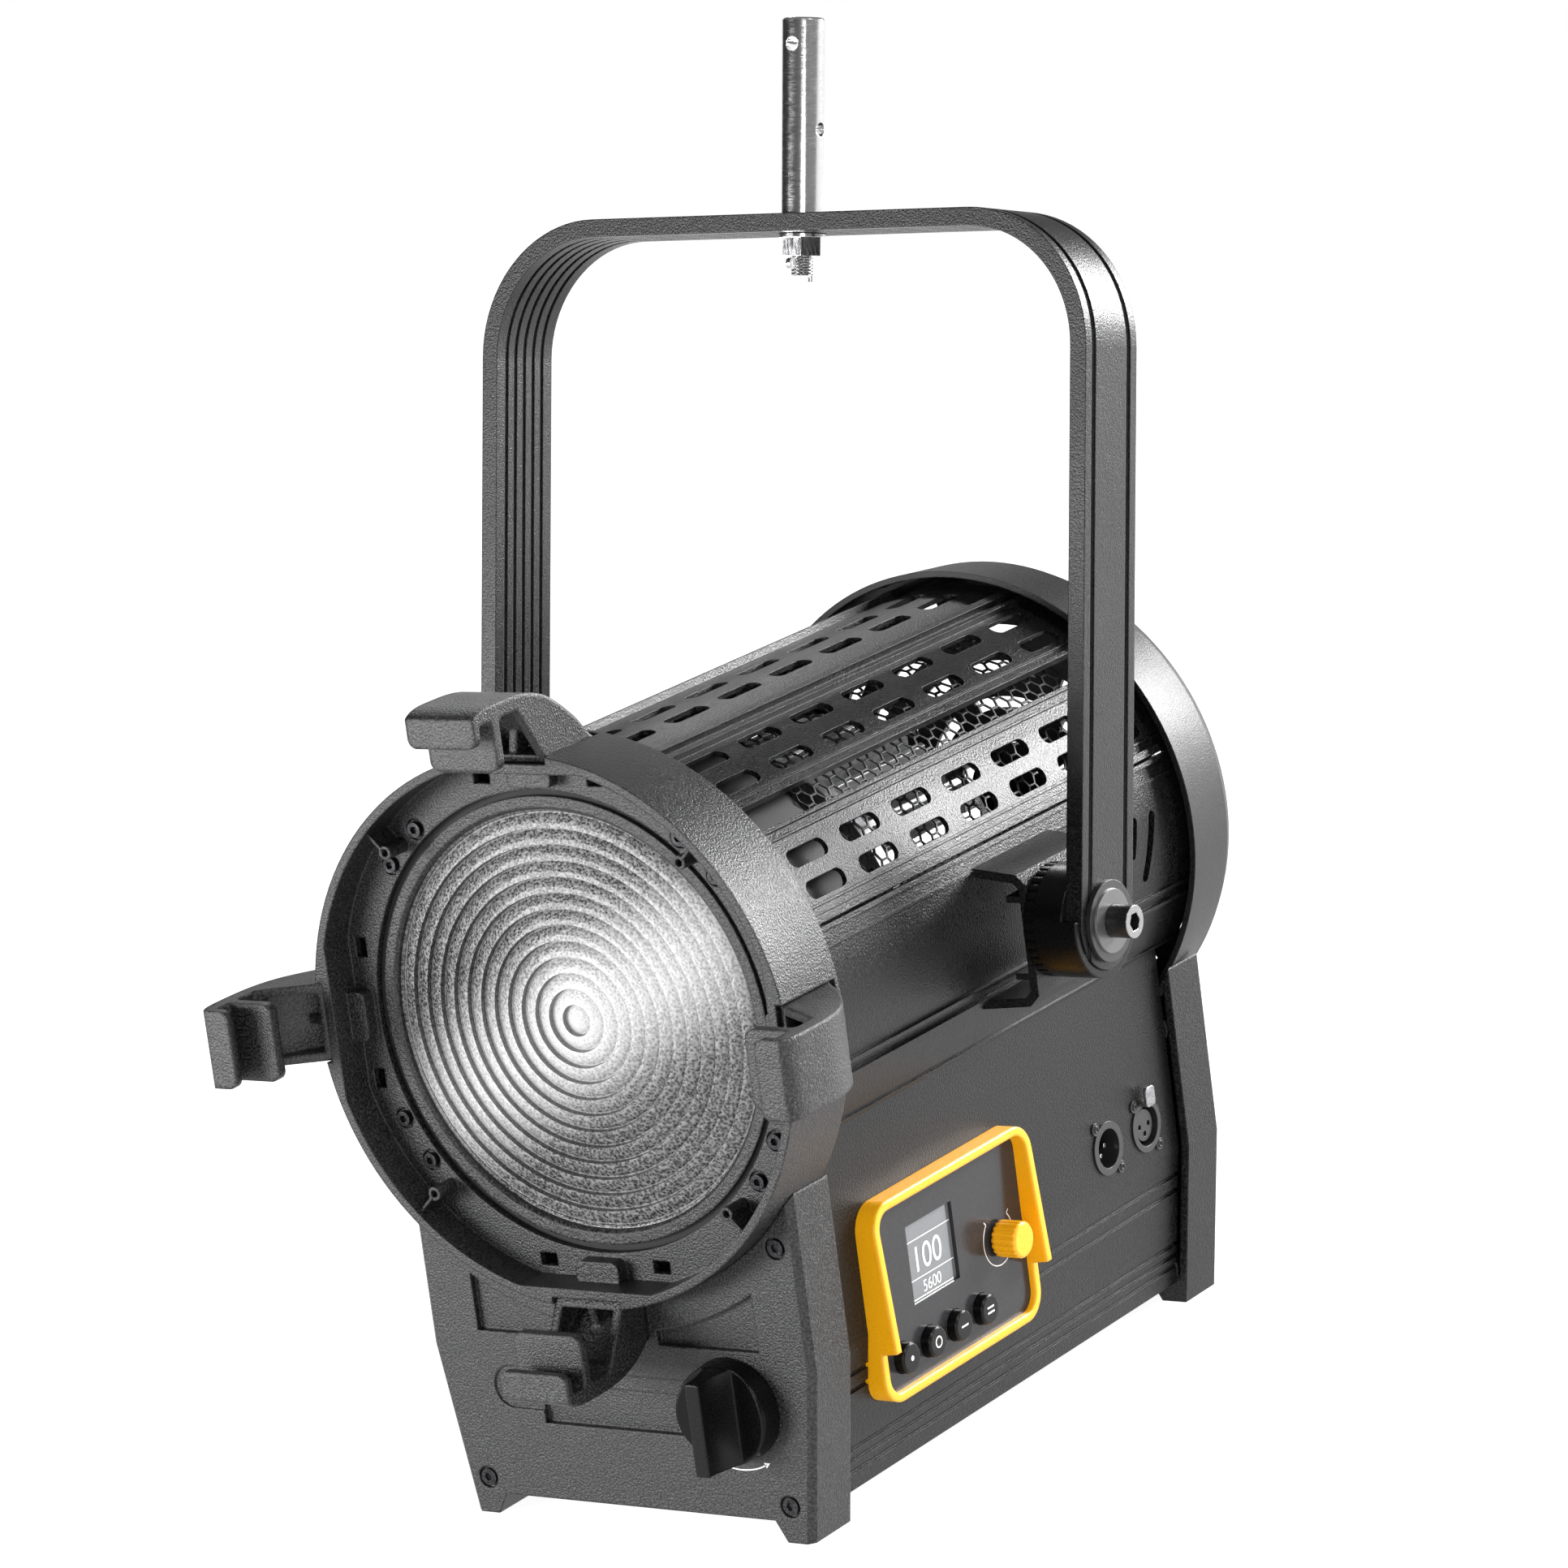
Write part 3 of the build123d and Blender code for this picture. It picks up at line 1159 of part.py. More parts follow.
# ---------------------------------------------------------------- power inlet and switch
REAR_FACE = REAR_PLATE_FRONT + PLATE_THICK
with BuildPart() as power_inlet:
    with BuildSketch(across(REAR_FACE + 2)):
        with Locations((INLET_X, INLET_Z)):
            RectangleRounded(31, 25, 3)
    extrude(amount=2)
    with BuildSketch(across(REAR_FACE)):
        with Locations((INLET_X, INLET_Z)):
            Rectangle(27, 20)
    extrude(amount=24)
    with BuildSketch(across(REAR_FACE + 2)):
        with Locations((INLET_X, INLET_Z)):
            Rectangle(24, 16.5)
    extrude(amount=20, mode=Mode.SUBTRACT)
    with BuildSketch(across(REAR_FACE - 18)):
        with Locations((INLET_X - 7, INLET_Z - 2), (INLET_X, INLET_Z + 2.5), (INLET_X + 7, INLET_Z - 2)):
            Rectangle(2, 4)
    extrude(amount=-13)
save(power_inlet, "power_inlet")

with BuildPart() as switch_frame:
    with BuildSketch(across(REAR_FACE + 1.5)):
        with Locations((SWITCH_X, INLET_Z)):
            Rectangle(16, 22)
            Rectangle(11.4, 17.4, mode=Mode.SUBTRACT)
    extrude(amount=1.5)
    with BuildSketch(across(REAR_FACE)):
        with Locations((SWITCH_X, INLET_Z)):
            Rectangle(13, 19)
            Rectangle(11.4, 17.4, mode=Mode.SUBTRACT)
    extrude(amount=18)
save(switch_frame, "switch_frame")

ROCKER_SWING = 12.0       # each way from level; at rest the lower end is out
ROCKER_PIVOT = REAR_FACE - 4.0
swing = radians(ROCKER_SWING)
rocker_plane = Plane(origin=(SWITCH_X - 5.2, FRONT_Y + ROCKER_PIVOT, AXIS_Z + INLET_Z),
                     x_dir=(0, cos(swing), sin(swing)), z_dir=(1, 0, 0))
with BuildPart() as power_rocker:
    with BuildSketch(rocker_plane):
        with BuildLine():
            Polyline((-3, -3), (4.6, -7.2), (6.2, -7.2), (4.6, 0), (6.2, 7.2), (4.6, 7.2), (-3, 3),
                     close=True)
        make_face()
    extrude(amount=10.4)
save(power_rocker, "power_rocker")
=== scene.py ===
import math

import bmesh
import bpy
from mathutils import Matrix, Vector


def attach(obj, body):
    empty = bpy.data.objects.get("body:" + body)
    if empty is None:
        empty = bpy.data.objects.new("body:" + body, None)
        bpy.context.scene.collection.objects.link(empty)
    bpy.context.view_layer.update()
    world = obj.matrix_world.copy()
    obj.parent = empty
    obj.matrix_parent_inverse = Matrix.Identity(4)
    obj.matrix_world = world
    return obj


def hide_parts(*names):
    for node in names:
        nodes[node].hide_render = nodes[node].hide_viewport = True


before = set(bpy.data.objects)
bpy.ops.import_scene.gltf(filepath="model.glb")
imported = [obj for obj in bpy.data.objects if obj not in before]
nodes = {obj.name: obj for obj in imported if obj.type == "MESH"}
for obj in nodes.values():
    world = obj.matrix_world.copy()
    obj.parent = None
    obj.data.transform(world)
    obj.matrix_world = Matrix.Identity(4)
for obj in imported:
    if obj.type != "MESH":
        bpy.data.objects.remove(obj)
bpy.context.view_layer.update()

# Places in the lamp, in metres, in the frame's axes.
AXIS_Z = 0.236            # optical axis above the floor
FRONT_Y = -0.179          # the front rim's plane
PIVOT = Vector((0, 0.0232, AXIS_Z))
YOKE_LEAN = math.radians(13.75)
YOKE_UP = Vector((0, math.sin(YOKE_LEAN), math.cos(YOKE_LEAN)))
YOKE_TOP = 0.3201         # along the yoke, from the pivot to its outer top face


# ---------------------------------------------------------------- camera
CAMERA_PLACE = (1.66354, -2.36459, 0.96765)
camera_data = bpy.data.cameras.new("camera")
camera_data.lens = 148.87
camera_data.sensor_width = 36
camera_data.clip_end = 100
camera = bpy.data.objects.new("camera", camera_data)
bpy.context.scene.collection.objects.link(camera)
view_turn = Vector((1.7769525, 0.4329025, -0.5249631))
to_view = Matrix.Rotation(view_turn.length, 3, view_turn.normalized())
flip = Matrix(((1, 0, 0), (0, -1, 0), (0, 0, -1)))
camera.matrix_world = Matrix.Translation(CAMERA_PLACE) @ (to_view.transposed() @ flip).to_4x4()
bpy.context.scene.camera = camera
bpy.context.scene.view_settings.view_transform = "Standard"


# ---------------------------------------------------------------- node helpers
class Graph:
    """Short ways to build one material's nodes. Positions are the object's, in metres."""

    def __init__(self, name):
        self.material = bpy.data.materials.new(name)
        self.material.use_nodes = True
        self.tree = self.material.node_tree
        self.shader = self.tree.nodes["Principled BSDF"]
        self.place = self.add("ShaderNodeTexCoord").outputs["Object"]

    def add(self, kind, **values):
        node = self.tree.nodes.new(kind)
        for key, value in values.items():
            setattr(node, key, value)
        return node

    def link(self, a, b):
        self.tree.links.new(a, b)

    def feed(self, socket, value):
        if isinstance(value, bpy.types.NodeSocket):
            self.link(value, socket)
        else:
            socket.default_value = value

    def math(self, operation, a, b=0.0, c=0.0, clamp=False):
        node = self.add("ShaderNodeMath", operation=operation, use_clamp=clamp)
        for socket, value in zip(node.inputs, (a, b, c)):
            self.feed(socket, value)
        return node.outputs[0]

    def spread(self, value, low, high, new_low=0.0, new_high=1.0, smooth=False):
        node = self.add("ShaderNodeMapRange", interpolation_type="SMOOTHSTEP" if smooth else "LINEAR")
        for socket, item in zip(node.inputs, (value, low, high, new_low, new_high)):
            self.feed(socket, item)
        return node.outputs[0]

    def stretch(self, scale=(1, 1, 1), rotation=(0, 0, 0), location=(0, 0, 0)):
        node = self.add("ShaderNodeMapping")
        self.link(self.place, node.inputs["Vector"])
        node.inputs["Scale"].default_value = scale
        node.inputs["Rotation"].default_value = rotation
        node.inputs["Location"].default_value = location
        return node.outputs[0]

    def noise(self, scale, detail=2.0, rough=0.5, at=None):
        node = self.add("ShaderNodeTexNoise")
        self.link(at or self.place, node.inputs["Vector"])
        node.inputs["Scale"].default_value = scale
        node.inputs["Detail"].default_value = detail
        node.inputs["Roughness"].default_value = rough
        return node.outputs["Fac"]

    def mix(self, factor, a, b):
        node = self.add("ShaderNodeMix", data_type="RGBA")
        self.feed(node.inputs[0], factor)
        self.feed(node.inputs[6], a)
        self.feed(node.inputs[7], b)
        return node.outputs[2]

    def parts(self, vector=None):
        node = self.add("ShaderNodeSeparateXYZ")
        self.link(vector or self.place, node.inputs[0])
        return node.outputs

    def bump(self, height, distance, strength=1.0, normal=None):
        node = self.add("ShaderNodeBump")
        self.link(height, node.inputs["Height"])
        node.inputs["Distance"].default_value = distance
        node.inputs["Strength"].default_value = strength
        if normal is not None:
            self.link(normal, node.inputs["Normal"])
        return node.outputs[0]

    def rounded(self, radius):
        node = self.add("ShaderNodeBevel", samples=6)
        node.inputs["Radius"].default_value = radius
        return node.outputs[0]

    def finish(self, color=None, roughness=None, normal=None, **constants):
        if color is not None:
            self.feed(self.shader.inputs["Base Color"], color)
        if roughness is not None:
            self.feed(self.shader.inputs["Roughness"], roughness)
        if normal is not None:
            self.link(normal, self.shader.inputs["Normal"])
        for key, value in constants.items():
            self.shader.inputs[key.replace("_", " ")].default_value = value
        return self.material


def grey(value, alpha=1.0):
    return (value, value, value, alpha)


def coated(name, dark, light, roughness, grain=1500.0, relief=0.00006, edge=0.0008, metallic=0.0,
           along=(1, 1, 1), shine=0.5):
    """Powder coat, anodising or moulded plastic: a fine grain, a slow change, and softened edges."""
    g = Graph(name)
    fine = g.noise(grain, 2.0, 0.6, g.stretch(along))
    slow = g.noise(18.0, 3.0)
    color = g.mix(g.spread(fine, 0.42, 0.68), (*dark, 1), (*light, 1))
    rough = g.math("ADD", g.spread(fine, 0.3, 0.7, roughness - 0.05, roughness + 0.07),
                   g.spread(slow, 0.3, 0.7, -0.03, 0.03))
    normal = g.bump(fine, relief, 0.8, g.rounded(edge) if edge else None)
    return g.finish(color, rough, normal, Metallic=metallic, Specular_IOR_Level=shine)


def give(material, *names):
    """Puts one material on carried-over CAD nodes."""
    for name in names:
        mesh = nodes[name].data
        mesh.materials.clear()
        mesh.materials.append(material)


# ---------------------------------------------------------------- materials
# Each call: name, darkest and lightest colour, roughness, grains per metre, relief and edge radius in
# metres, then how metallic, how the grain is stretched, and the specular level.
casting = coated("black_powder_coat", (0.001, 0.001, 0.001), (0.040, 0.040, 0.042), 0.38,
                 950, 0.0006, 0.0014, shine=0.45)
ear_coat = coated("ear_powder_coat", (0.001, 0.001, 0.001), (0.045, 0.045, 0.047), 0.38,
                  950, 0.0006, 0.0026, shine=0.5)
rear_coat = coated("rear_powder_coat", (0.001, 0.001, 0.001), (0.022, 0.022, 0.023), 0.40,
                   950, 0.0005, 0.0012, shine=0.26)
profile = coated("black_profile", (0.001, 0.001, 0.001), (0.020, 0.020, 0.021), 0.32,
                 1000, 0.0004, 0.0005, shine=0.22)
yoke_coat = coated("yoke_coat", (0.001, 0.001, 0.001), (0.018, 0.018, 0.019), 0.33,
                   1100, 0.0003, 0.0008, shine=0.3)
sheet = coated("black_sheet", (0.002, 0.002, 0.002), (0.016, 0.016, 0.017), 0.45,
               1200, 0.0002, 0.0008, shine=0.3)
plastic = coated("black_plastic", (0.001, 0.001, 0.001), (0.004, 0.004, 0.004), 0.28,
                 1800, 0.00004, 0.0014, shine=0.22)
inner_black = coated("inner_black", (0.006, 0.006, 0.006), (0.014, 0.014, 0.014), 0.6,
                     900, 0.0001, 0.0)
rubber = coated("seal_rubber", (0.008, 0.008, 0.008), (0.016, 0.016, 0.016), 0.75,
                1500, 0.0001, 0.0004)
dark_steel = coated("dark_steel", (0.02, 0.02, 0.022), (0.06, 0.06, 0.062), 0.32,
                    1500, 0.00003, 0.0003, 0.9)
bright_steel = coated("bright_steel", (0.55, 0.55, 0.56), (0.68, 0.68, 0.69), 0.16,
                      900, 0.00001, 0.0003, 1.0, (1, 1, 0.08))
aluminium = coated("bare_aluminium", (0.45, 0.45, 0.46), (0.62, 0.62, 0.63), 0.34,
                   1200, 0.00003, 0.0004, 1.0, (1, 0.1, 1))
latch_steel = coated("brushed_latch", (0.22, 0.22, 0.23), (0.36, 0.36, 0.37), 0.38,
                     1200, 0.00003, 0.0008, 1.0, (1, 0.2, 1))
yellow = coated("yellow_plastic", (0.90, 0.40, 0.002), (0.96, 0.45, 0.004), 0.30,
                1500, 0.00003, 0.0024)
gloss = coated("face_gloss", (0.022, 0.022, 0.024), (0.027, 0.027, 0.029), 0.16,
               700, 0.000004, 0.0, shine=0.3)
circuit = coated("circuit_green", (0.01, 0.06, 0.03), (0.02, 0.12, 0.05), 0.45,
                 400, 0.0001, 0.0)
emitter = coated("led_white", (0.75, 0.70, 0.45), (0.85, 0.82, 0.6), 0.5,
                 1200, 0.0001, 0.0)

give(casting, "front_ring", "lens_retaining_ring", "front_plate")
give(rear_coat, "rear_plate")
give(ear_coat, "accessory_ear_top", "accessory_ear_right", "accessory_ear_bottom", "accessory_ear_left")
give(profile, "top_shell", "shoulder_panel_right", "shoulder_panel_left", "side_rail_right",
     "side_rail_left", "side_panel_right", "side_panel_left", "bottom_plate", "pivot_bracket_right",
     "pivot_bracket_left")
give(yoke_coat, "yoke")
give(sheet, "rear_cover", "power_supply")
give(inner_black, "light_baffle")
give(rubber, "lens_gasket")
give(dark_steel, "ring_screws", "ear_hinge_pin", "end_plate_screws")
give(bright_steel, "spigot_washer", "spigot_nut", "cotter_pin", "focus_leadscrew", "guide_rods",
     "encoder_shaft")
give(aluminium, "led_carriage", "heat_sink")
give(latch_steel, "socket_latch")
give(plastic, "pivot_cup_right", "pivot_cup_left", "tilt_lock_lever", "focus_knob",
     "fan_frame", "fan_rotor", "menu_button_1", "menu_button_2", "menu_button_3", "menu_button_4",
     "power_inlet", "switch_frame", "power_rocker")
give(yellow, "control_guard", "encoder_knob")
give(gloss, "control_face")
give(circuit, "display_module")
give(emitter, "led_module")


THREAD_PITCH = 0.0015
THREAD_START = YOKE_TOP - 0.008     # the thread is below this, along the yoke


def spigot_material():
    """Turned bright steel, with a screw thread under the yoke."""
    g = Graph("spigot_steel")
    brushed = g.noise(260, 3.0, 0.6, g.stretch((1, 1, 6)))
    px, py, pz = g.parts(g.stretch(location=(0, -PIVOT.y, -PIVOT.z)))
    height = g.math("ADD", g.math("MULTIPLY", py, YOKE_UP.y), g.math("MULTIPLY", pz, YOKE_UP.z))
    ahead = g.math("SUBTRACT", g.math("MULTIPLY", pz, YOKE_UP.y), g.math("MULTIPLY", py, YOKE_UP.z))
    angle = g.math("ARCTAN2", px, ahead)
    turns = g.math("ADD", g.math("MULTIPLY", height, 2 * math.pi / THREAD_PITCH), angle)
    thread = g.math("SINE", turns)
    below = g.math("LESS_THAN", height, THREAD_START)
    threaded = g.math("MULTIPLY", thread, below)
    normal = g.bump(threaded, 0.0005, 1.0, g.rounded(0.0003))
    normal = g.bump(brushed, 0.000004, 0.5, normal)
    rough = g.spread(brushed, 0.3, 0.7, 0.10, 0.20)
    return g.finish(grey(0.82), rough, normal, Metallic=1.0)


give(spigot_material(), "spigot")


DISC_R = 0.01475
TURNING = 9000.0          # lathe marks, in radians per metre of radius
BARE_DEPTH = 0.0004       # how far from its end the bolt is worn bare


def washer_material():
    """Black outer ring, and a pale turned disc in its middle."""
    g = Graph("washer_faces")
    _, py, pz = g.parts(g.stretch(location=(0, -PIVOT.y, -PIVOT.z)))
    away = g.math("SQRT", g.math("ADD", g.math("POWER", py, 2.0), g.math("POWER", pz, 2.0)))
    disc = g.math("LESS_THAN", away, DISC_R)
    fine = g.noise(1400, 2.0)
    turned = g.math("SINE", g.math("MULTIPLY", away, TURNING))
    color = g.mix(disc, g.mix(fine, grey(0.006), grey(0.018)), g.mix(fine, grey(0.10), grey(0.16)))
    rough = g.math("ADD", g.spread(fine, 0.3, 0.7, 0.30, 0.42), g.math("MULTIPLY", turned, 0.02))
    g.link(g.math("MULTIPLY", disc, 0.6), g.shader.inputs["Metallic"])
    return g.finish(color, rough, g.bump(fine, 0.00006, 0.6, g.rounded(0.0006)))


give(washer_material(), "pivot_washers")


def bolt_material():
    """Blackened bolt whose end faces are worn to bare metal."""
    g = Graph("bolt_faces")
    end = max(vertex.co.x for vertex in nodes["pivot_bolt"].data.vertices)
    px = g.parts()[0]
    bare = g.math("GREATER_THAN", g.math("ABSOLUTE", px), end - BARE_DEPTH)
    fine = g.noise(1400, 2.0)
    color = g.mix(bare, g.mix(fine, grey(0.004), grey(0.012)), g.mix(fine, grey(0.20), grey(0.34)))
    g.link(g.math("MULTIPLY", bare, 0.9), g.shader.inputs["Metallic"])
    rough = g.spread(fine, 0.3, 0.7, 0.24, 0.34)
    return g.finish(color, rough, g.bump(fine, 0.00004, 0.6, g.rounded(0.0006)))


give(bolt_material(), "pivot_bolt")

SOCKET_Z = AXIS_Z - 0.138
SOCKET_FACE_X = 0.0988
SOCKET_IN_Y = FRONT_Y + 0.288
SOCKET_OUT_Y = FRONT_Y + 0.324
PIN_OFFSETS = ((-0.0041, 0.0), (0.0041, 0.0), (0.0, -0.0041))
PIN_R = 0.0014


def socket_material(name, y, with_pins):
    """Black die-cast socket; the pins in it, if any, are silver."""
    g = Graph(name)
    _, py, pz = g.parts()
    fine = g.noise(1500, 2.0)
    mask = None
    if with_pins:
        for dy, dz in PIN_OFFSETS:
            away = g.math("SQRT", g.math("ADD", g.math("POWER", g.math("SUBTRACT", py, y + dy), 2.0),
                                         g.math("POWER", g.math("SUBTRACT", pz, SOCKET_Z + dz), 2.0)))
            near = g.math("LESS_THAN", away, PIN_R)
            mask = near if mask is None else g.math("MAXIMUM", mask, near)
        color = g.mix(mask, grey(0.012), grey(0.75))
        g.link(mask, g.shader.inputs["Metallic"])
        rough = g.spread(mask, 0.0, 1.0, 0.35, 0.15)
    else:
        color = g.mix(g.spread(fine, 0.3, 0.7), grey(0.010), grey(0.02))
        rough = g.spread(fine, 0.3, 0.7, 0.3, 0.4)
    return g.finish(color, rough, g.bump(fine, 0.00004, 0.6, g.rounded(0.0004)))


give(socket_material("socket_in", SOCKET_IN_Y, True), "data_socket_in")
give(socket_material("socket_out", SOCKET_OUT_Y, False), "data_socket_out")


# ---------------------------------------------------------------- mesh helpers
def piece(name, bm, material, body, replaced=(), smooth=True):
    mesh = bpy.data.meshes.new(name)
    bm.to_mesh(mesh)
    bm.free()
    mesh.materials.append(material)
    if smooth:
        mesh.shade_smooth()
    made = bpy.data.objects.new(name, mesh)
    bpy.context.scene.collection.objects.link(made)
    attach(made, body)
    if replaced:
        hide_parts(*replaced)
    return made


def revolve(bm, profile_points, segments, sharp_at=()):
    """Revolves (depth, radius) points about the optical axis; radius 0 closes to a point."""
    rings = []
    for depth, radius in profile_points:
        if radius == 0:
            rings.append([bm.verts.new((0, FRONT_Y + depth, AXIS_Z))])
            continue
        ring = []
        for n in range(segments):
            turn = 2 * math.pi * n / segments
            x, z = radius * math.sin(turn), radius * math.cos(turn)
            ring.append(bm.verts.new((x, FRONT_Y + depth, AXIS_Z + z)))
        rings.append(ring)
    for a, b in zip(rings, rings[1:]):
        for n in range(segments):
            m = (n + 1) % segments
            if len(a) == 1:
                bm.faces.new((a[0], b[n], b[m]))
            elif len(b) == 1:
                bm.faces.new((a[n], b[0], a[m]))
            else:
                bm.faces.new((a[n], b[n], b[m], a[m]))
    bm.edges.ensure_lookup_table()
    for index in sharp_at:
        ring = rings[index]
        for n in range(len(ring)):
            edge = bm.edges.get((ring[n], ring[(n + 1) % len(ring)]))
            if edge:
                edge.smooth = False


# ---------------------------------------------------------------- lens
LENS_FRONT = 0.023
LENS_BACK = 0.029
LENS_RINGS = 13
LENS_EDGE = 0.0955
LENS_RIM = 0.101          # outside of the glass, under its retaining ring
LENS_PITCH = LENS_EDGE / LENS_RINGS
RING_STEPS = 7            # steps in each ring's curve
RING_GAP = 0.0006         # width of the step between two rings
RING_DIP = 0.0015         # how far a ring starts behind the front of the lens
RING_RISE = 0.0027
LENS_TURNS = 240
# painted glow in the lens colour: a bright band across the lens, tilted and shifted, and a brighter
# centre
BEAM_TILT = math.radians(28)
BEAM_SHIFT = 0.002
BEAM_HALF = 0.050         # half width of the painted bright band
BEAM_LEVEL = 0.74
CORE_R = 0.040
CORE_LEVEL = 0.18
LINE_START, LINE_END = 0.85, 0.93     # painted highlight line on each ring, as shares of its width
LINE_LEVEL = 0.30
STIPPLE_RELIEF = 0.0006


def lens_material():
    """Pressed glass with a stippled back. Its colour holds painted light: a painted bright band and
    brighter centre, a painted highlight line on each ring, painted shade at each ring's step, and
    painted sparkle from the stipple.
    """
    g = Graph("lens_glass")
    px, _, pz = g.parts(g.stretch(location=(0, 0, -AXIS_Z)))
    radius = g.math("SQRT", g.math("ADD", g.math("POWER", px, 2.0), g.math("POWER", pz, 2.0)))
    # painted glow: a bright band and a brighter centre are painted into the colour in place of light on
    # the glass
    cosine, sine = math.cos(BEAM_TILT), math.sin(BEAM_TILT)
    along = g.math("ADD", g.math("MULTIPLY", px, cosine), g.math("MULTIPLY", pz, sine))
    across = g.math("SUBTRACT", g.math("MULTIPLY", pz, cosine), g.math("MULTIPLY", px, sine))
    off_beam = g.math("ABSOLUTE", g.math("ADD", across, BEAM_SHIFT))
    painted_band = g.spread(off_beam, 0.0, BEAM_HALF, 1.0, 0.0, smooth=True)
    reach = g.spread(g.math("ABSOLUTE", along), 0.060, 0.110, 1.0, 0.55, smooth=True)
    painted_centre_glow = g.spread(radius, 0.0, CORE_R, CORE_LEVEL, 0.0, smooth=True)
    painted_glow = g.math("ADD", g.math("MULTIPLY", g.math("MULTIPLY", painted_band, reach), BEAM_LEVEL), painted_centre_glow)
    cells = g.add("ShaderNodeTexVoronoi", feature="SMOOTH_F1")
    g.link(g.place, cells.inputs["Vector"])
    cells.inputs["Scale"].default_value = 800
    fine = g.noise(1200, 3.0, 0.7)
    stipple = g.math("ADD", cells.outputs["Distance"], g.math("MULTIPLY", fine, 0.8))
    # painted sparkle: the stipple lightens and darkens the colour like glints
    painted_sparkle = g.spread(stipple, 0.45, 1.05, -0.20, 0.28)
    # painted highlight line on each ring's crest, then painted shade at its step
    share = g.math("FRACT", g.math("DIVIDE", radius, LENS_PITCH))
    past_start = g.math("GREATER_THAN", share, LINE_START)
    painted_ring_highlight = g.math("MULTIPLY", past_start, g.math("LESS_THAN", share, LINE_END))
    painted_step_shade = g.math("GREATER_THAN", share, LINE_END)
    level = g.math("ADD", painted_glow, g.math("ADD", painted_sparkle, 0.05))
    level = g.math("ADD", level, g.math("MULTIPLY", painted_ring_highlight, LINE_LEVEL))
    level = g.math("MULTIPLY", level, g.spread(painted_step_shade, 0.0, 1.0, 1.0, 0.30), clamp=True)
    # the painted light level sets the lens colour, from dark to pale grey
    color = g.mix(level, grey(0.008), grey(0.54))
    rough = g.spread(fine, 0.3, 0.7, 0.10, 0.24)
    normal = g.bump(stipple, STIPPLE_RELIEF, 0.6)
    return g.finish(color, rough, normal, Specular_IOR_Level=0.5, Coat_Weight=0.2, Coat_Roughness=0.06)


def build_lens():
    bm = bmesh.new()
    points = [(LENS_FRONT - RING_DIP, 0.0)]
    sharp = []
    for ring in range(LENS_RINGS):
        for step in range(1 if ring == 0 else 0, RING_STEPS + 1):
            share = step / RING_STEPS
            depth = LENS_FRONT - RING_DIP + RING_RISE * share ** 1.7
            points.append((depth, max(ring * LENS_PITCH + (LENS_PITCH - RING_GAP) * share, 0.0003)))
            if step in (0, RING_STEPS):
                sharp.append(len(points) - 1)
    points += [(LENS_FRONT, LENS_EDGE + 0.001), (LENS_FRONT, LENS_RIM), (LENS_BACK, LENS_RIM)]
    revolve(bm, points, LENS_TURNS, sharp)
    piece("lens_pressed_glass", bm, lens_material(), "head", ("fresnel_lens",))


build_lens()


# ---------------------------------------------------------------- perforated screen
SCREEN_R = 0.1046
SCREEN_FRONT = 0.112
SCREEN_REAR = 0.3509
SCREEN_HALF = math.radians(82)
HEX_PITCH = 0.0082
HEX_OPEN = 0.86           # a hole's share of its cell
SHEET_THICK = 0.0007


def build_screen():
    """Curved sheet of hexagon holes: each cell is six quads between its hole and its edge."""
    bm = bmesh.new()
    outer = HEX_PITCH / math.sqrt(3)
    row_step = HEX_PITCH * math.sqrt(3) / 2
    columns = int(2 * SCREEN_HALF * SCREEN_R / HEX_PITCH) - 1
    rows = int((SCREEN_REAR - SCREEN_FRONT) / row_step) - 1
    found = {}

    def vertex(along, depth):
        key = (round(along * 1e6), round(depth * 1e6))
        if key not in found:
            turn = along / SCREEN_R
            found[key] = bm.verts.new((SCREEN_R * math.sin(turn), FRONT_Y + depth,
                                       AXIS_Z + SCREEN_R * math.cos(turn)))
        return found[key]

    for row in range(rows):
        depth = SCREEN_FRONT + outer + row * row_step
        shift = HEX_PITCH / 2 if row % 2 else 0.0
        for column in range(columns):
            along = -SCREEN_HALF * SCREEN_R + HEX_PITCH * (column + 0.7) + shift
            rim = []
            hole = []
            for corner in range(6):
                turn = math.pi / 3 * corner
                sx, sy = math.sin(turn), math.cos(turn)
                rim.append(vertex(along + outer * sx, depth + outer * sy))
                hole.append(vertex(along + outer * HEX_OPEN * sx, depth + outer * HEX_OPEN * sy))
            for corner in range(6):
                after = (corner + 1) % 6
                bm.faces.new((rim[corner], rim[after], hole[after], hole[corner]))
    made = piece("hex_mesh", bm, sheet, "head", ("hex_screen",), smooth=False)
    thick = made.modifiers.new("thickness", "SOLIDIFY")
    thick.thickness = SHEET_THICK
    thick.offset = 0


build_screen()


# ---------------------------------------------------------------- marks and display
def printed(name, brightness):
    g = Graph(name)
    fine = g.noise(2500, 2.0)
    color = g.mix(g.spread(fine, 0.3, 0.7), grey(brightness * 0.92), grey(brightness))
    return g.finish(color, g.spread(fine, 0.3, 0.7, 0.4, 0.5), g.bump(fine, 0.00001, 0.3))


white_print = printed("white_print", 0.8)
LIFT = 0.0001             # printed marks stand this far off their surface
FACE_X = 0.101
WINDOW_Y = FRONT_Y + 0.127
WINDOW_Z = AXIS_Z - 0.136


